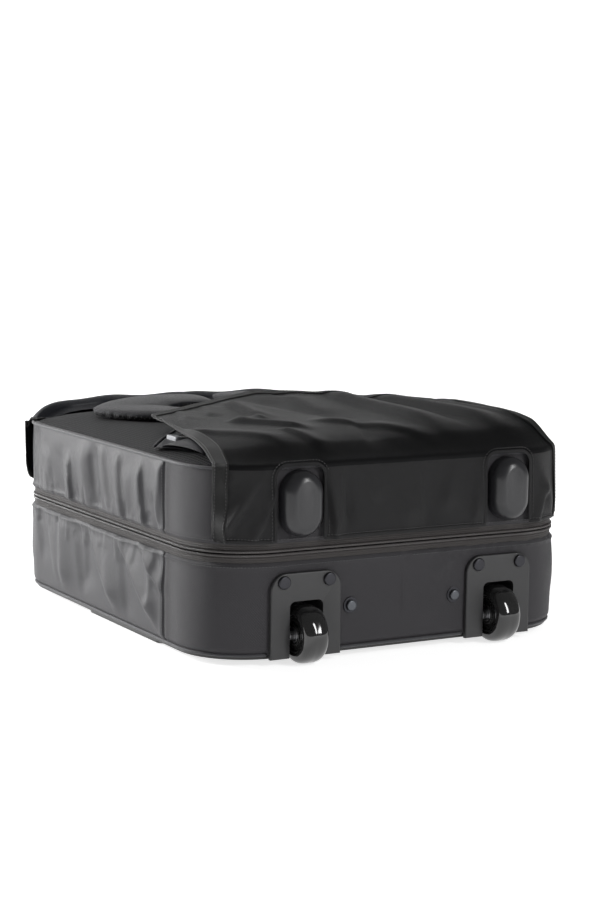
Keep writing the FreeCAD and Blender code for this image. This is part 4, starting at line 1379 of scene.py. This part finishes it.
def sweep_points():
    """Backdrop: a floor that runs back and curves up into a wall."""
    turn = np.linspace(0, math.pi / 2, 24)
    y = np.concatenate([[-4500.0], 5200 + 1500 * np.sin(turn), [6700.0]])
    z = np.concatenate([[0.0], 1500 - 1500 * np.cos(turn), [6000.0]])
    x = np.linspace(-7000, 7000, 8)
    return np.stack([np.column_stack([x, np.full(8, b), np.full(8, c)]) for b, c in zip(y, z)])


paper = Finish("white_paper", (0.93, 0.93, 0.93), 0.9, Emission_Color=(1, 1, 1, 1), Emission_Strength=0.70)
paper.raised(paper.noise(40), 0.01)
backdrop = surface("paper_sweep", sweep_points(), [paper.material])

world = bpy.data.worlds.new("studio")
bpy.context.scene.world = world
world.use_nodes = True
sky = world.node_tree.nodes["Background"]
sky.inputs["Color"].default_value = (1, 1, 1, 1)
sky.inputs["Strength"].default_value = 0.16


def softbox(name, place, aim, size, power):
    """Rectangular area light that faces aim."""
    light = bpy.data.lights.new(name, "AREA")
    light.shape = "RECTANGLE"
    light.size, light.size_y = size
    light.energy = power
    o = bpy.data.objects.new(name, light)
    bpy.context.scene.collection.objects.link(o)
    back = np.array(place, float) - np.array(aim, float)
    z = unit(back)
    x = unit(np.cross((0, 0, 1.0), z))
    turn = np.eye(4)
    turn[:3, :3] = np.stack([x, np.cross(z, x), z], -1)
    turn[:3, 3] = place
    o.matrix_world = Matrix(turn.tolist())
    return o


softbox("left_box", (-1.8, 2.1, 0.85), (0, 0.1, 0.1), (0.7, 1.1), 96)
softbox("right_box", (0.9, -2.2, 1.1), (0, -0.2, 0.1), (0.35, 1.6), 30)
softbox("top_box", (-0.6, 1.9, 2.0), (0, 0, 0.15), (1.2, 0.7), 15)


def look(camera, place, yaw, pitch, roll):
    """Stands the camera at place, facing yaw from +Y towards +X, tipped down by pitch."""
    ahead = np.array([math.sin(yaw) * math.cos(pitch), math.cos(yaw) * math.cos(pitch), -math.sin(pitch)])
    right = np.array([math.cos(yaw), -math.sin(yaw), 0.0])
    up = np.cross(right, ahead)
    turn = np.eye(4)
    turn[:3, 0] = right * math.cos(roll) + up * math.sin(roll)
    turn[:3, 1] = -right * math.sin(roll) + up * math.cos(roll)
    turn[:3, 2] = -ahead
    turn[:3, 3] = place
    camera.matrix_world = Matrix(turn.tolist())


lens = bpy.data.cameras.new("studio_camera")
lens.lens = 81.64
lens.clip_end = 100
camera = bpy.data.objects.new("studio_camera", lens)
bpy.context.scene.collection.objects.link(camera)
look(camera, (-0.9347, -1.6953, 0.3988), 0.509, 0.126, 0.011)
bpy.context.scene.camera = camera
bpy.context.scene.view_settings.view_transform = "Standard"
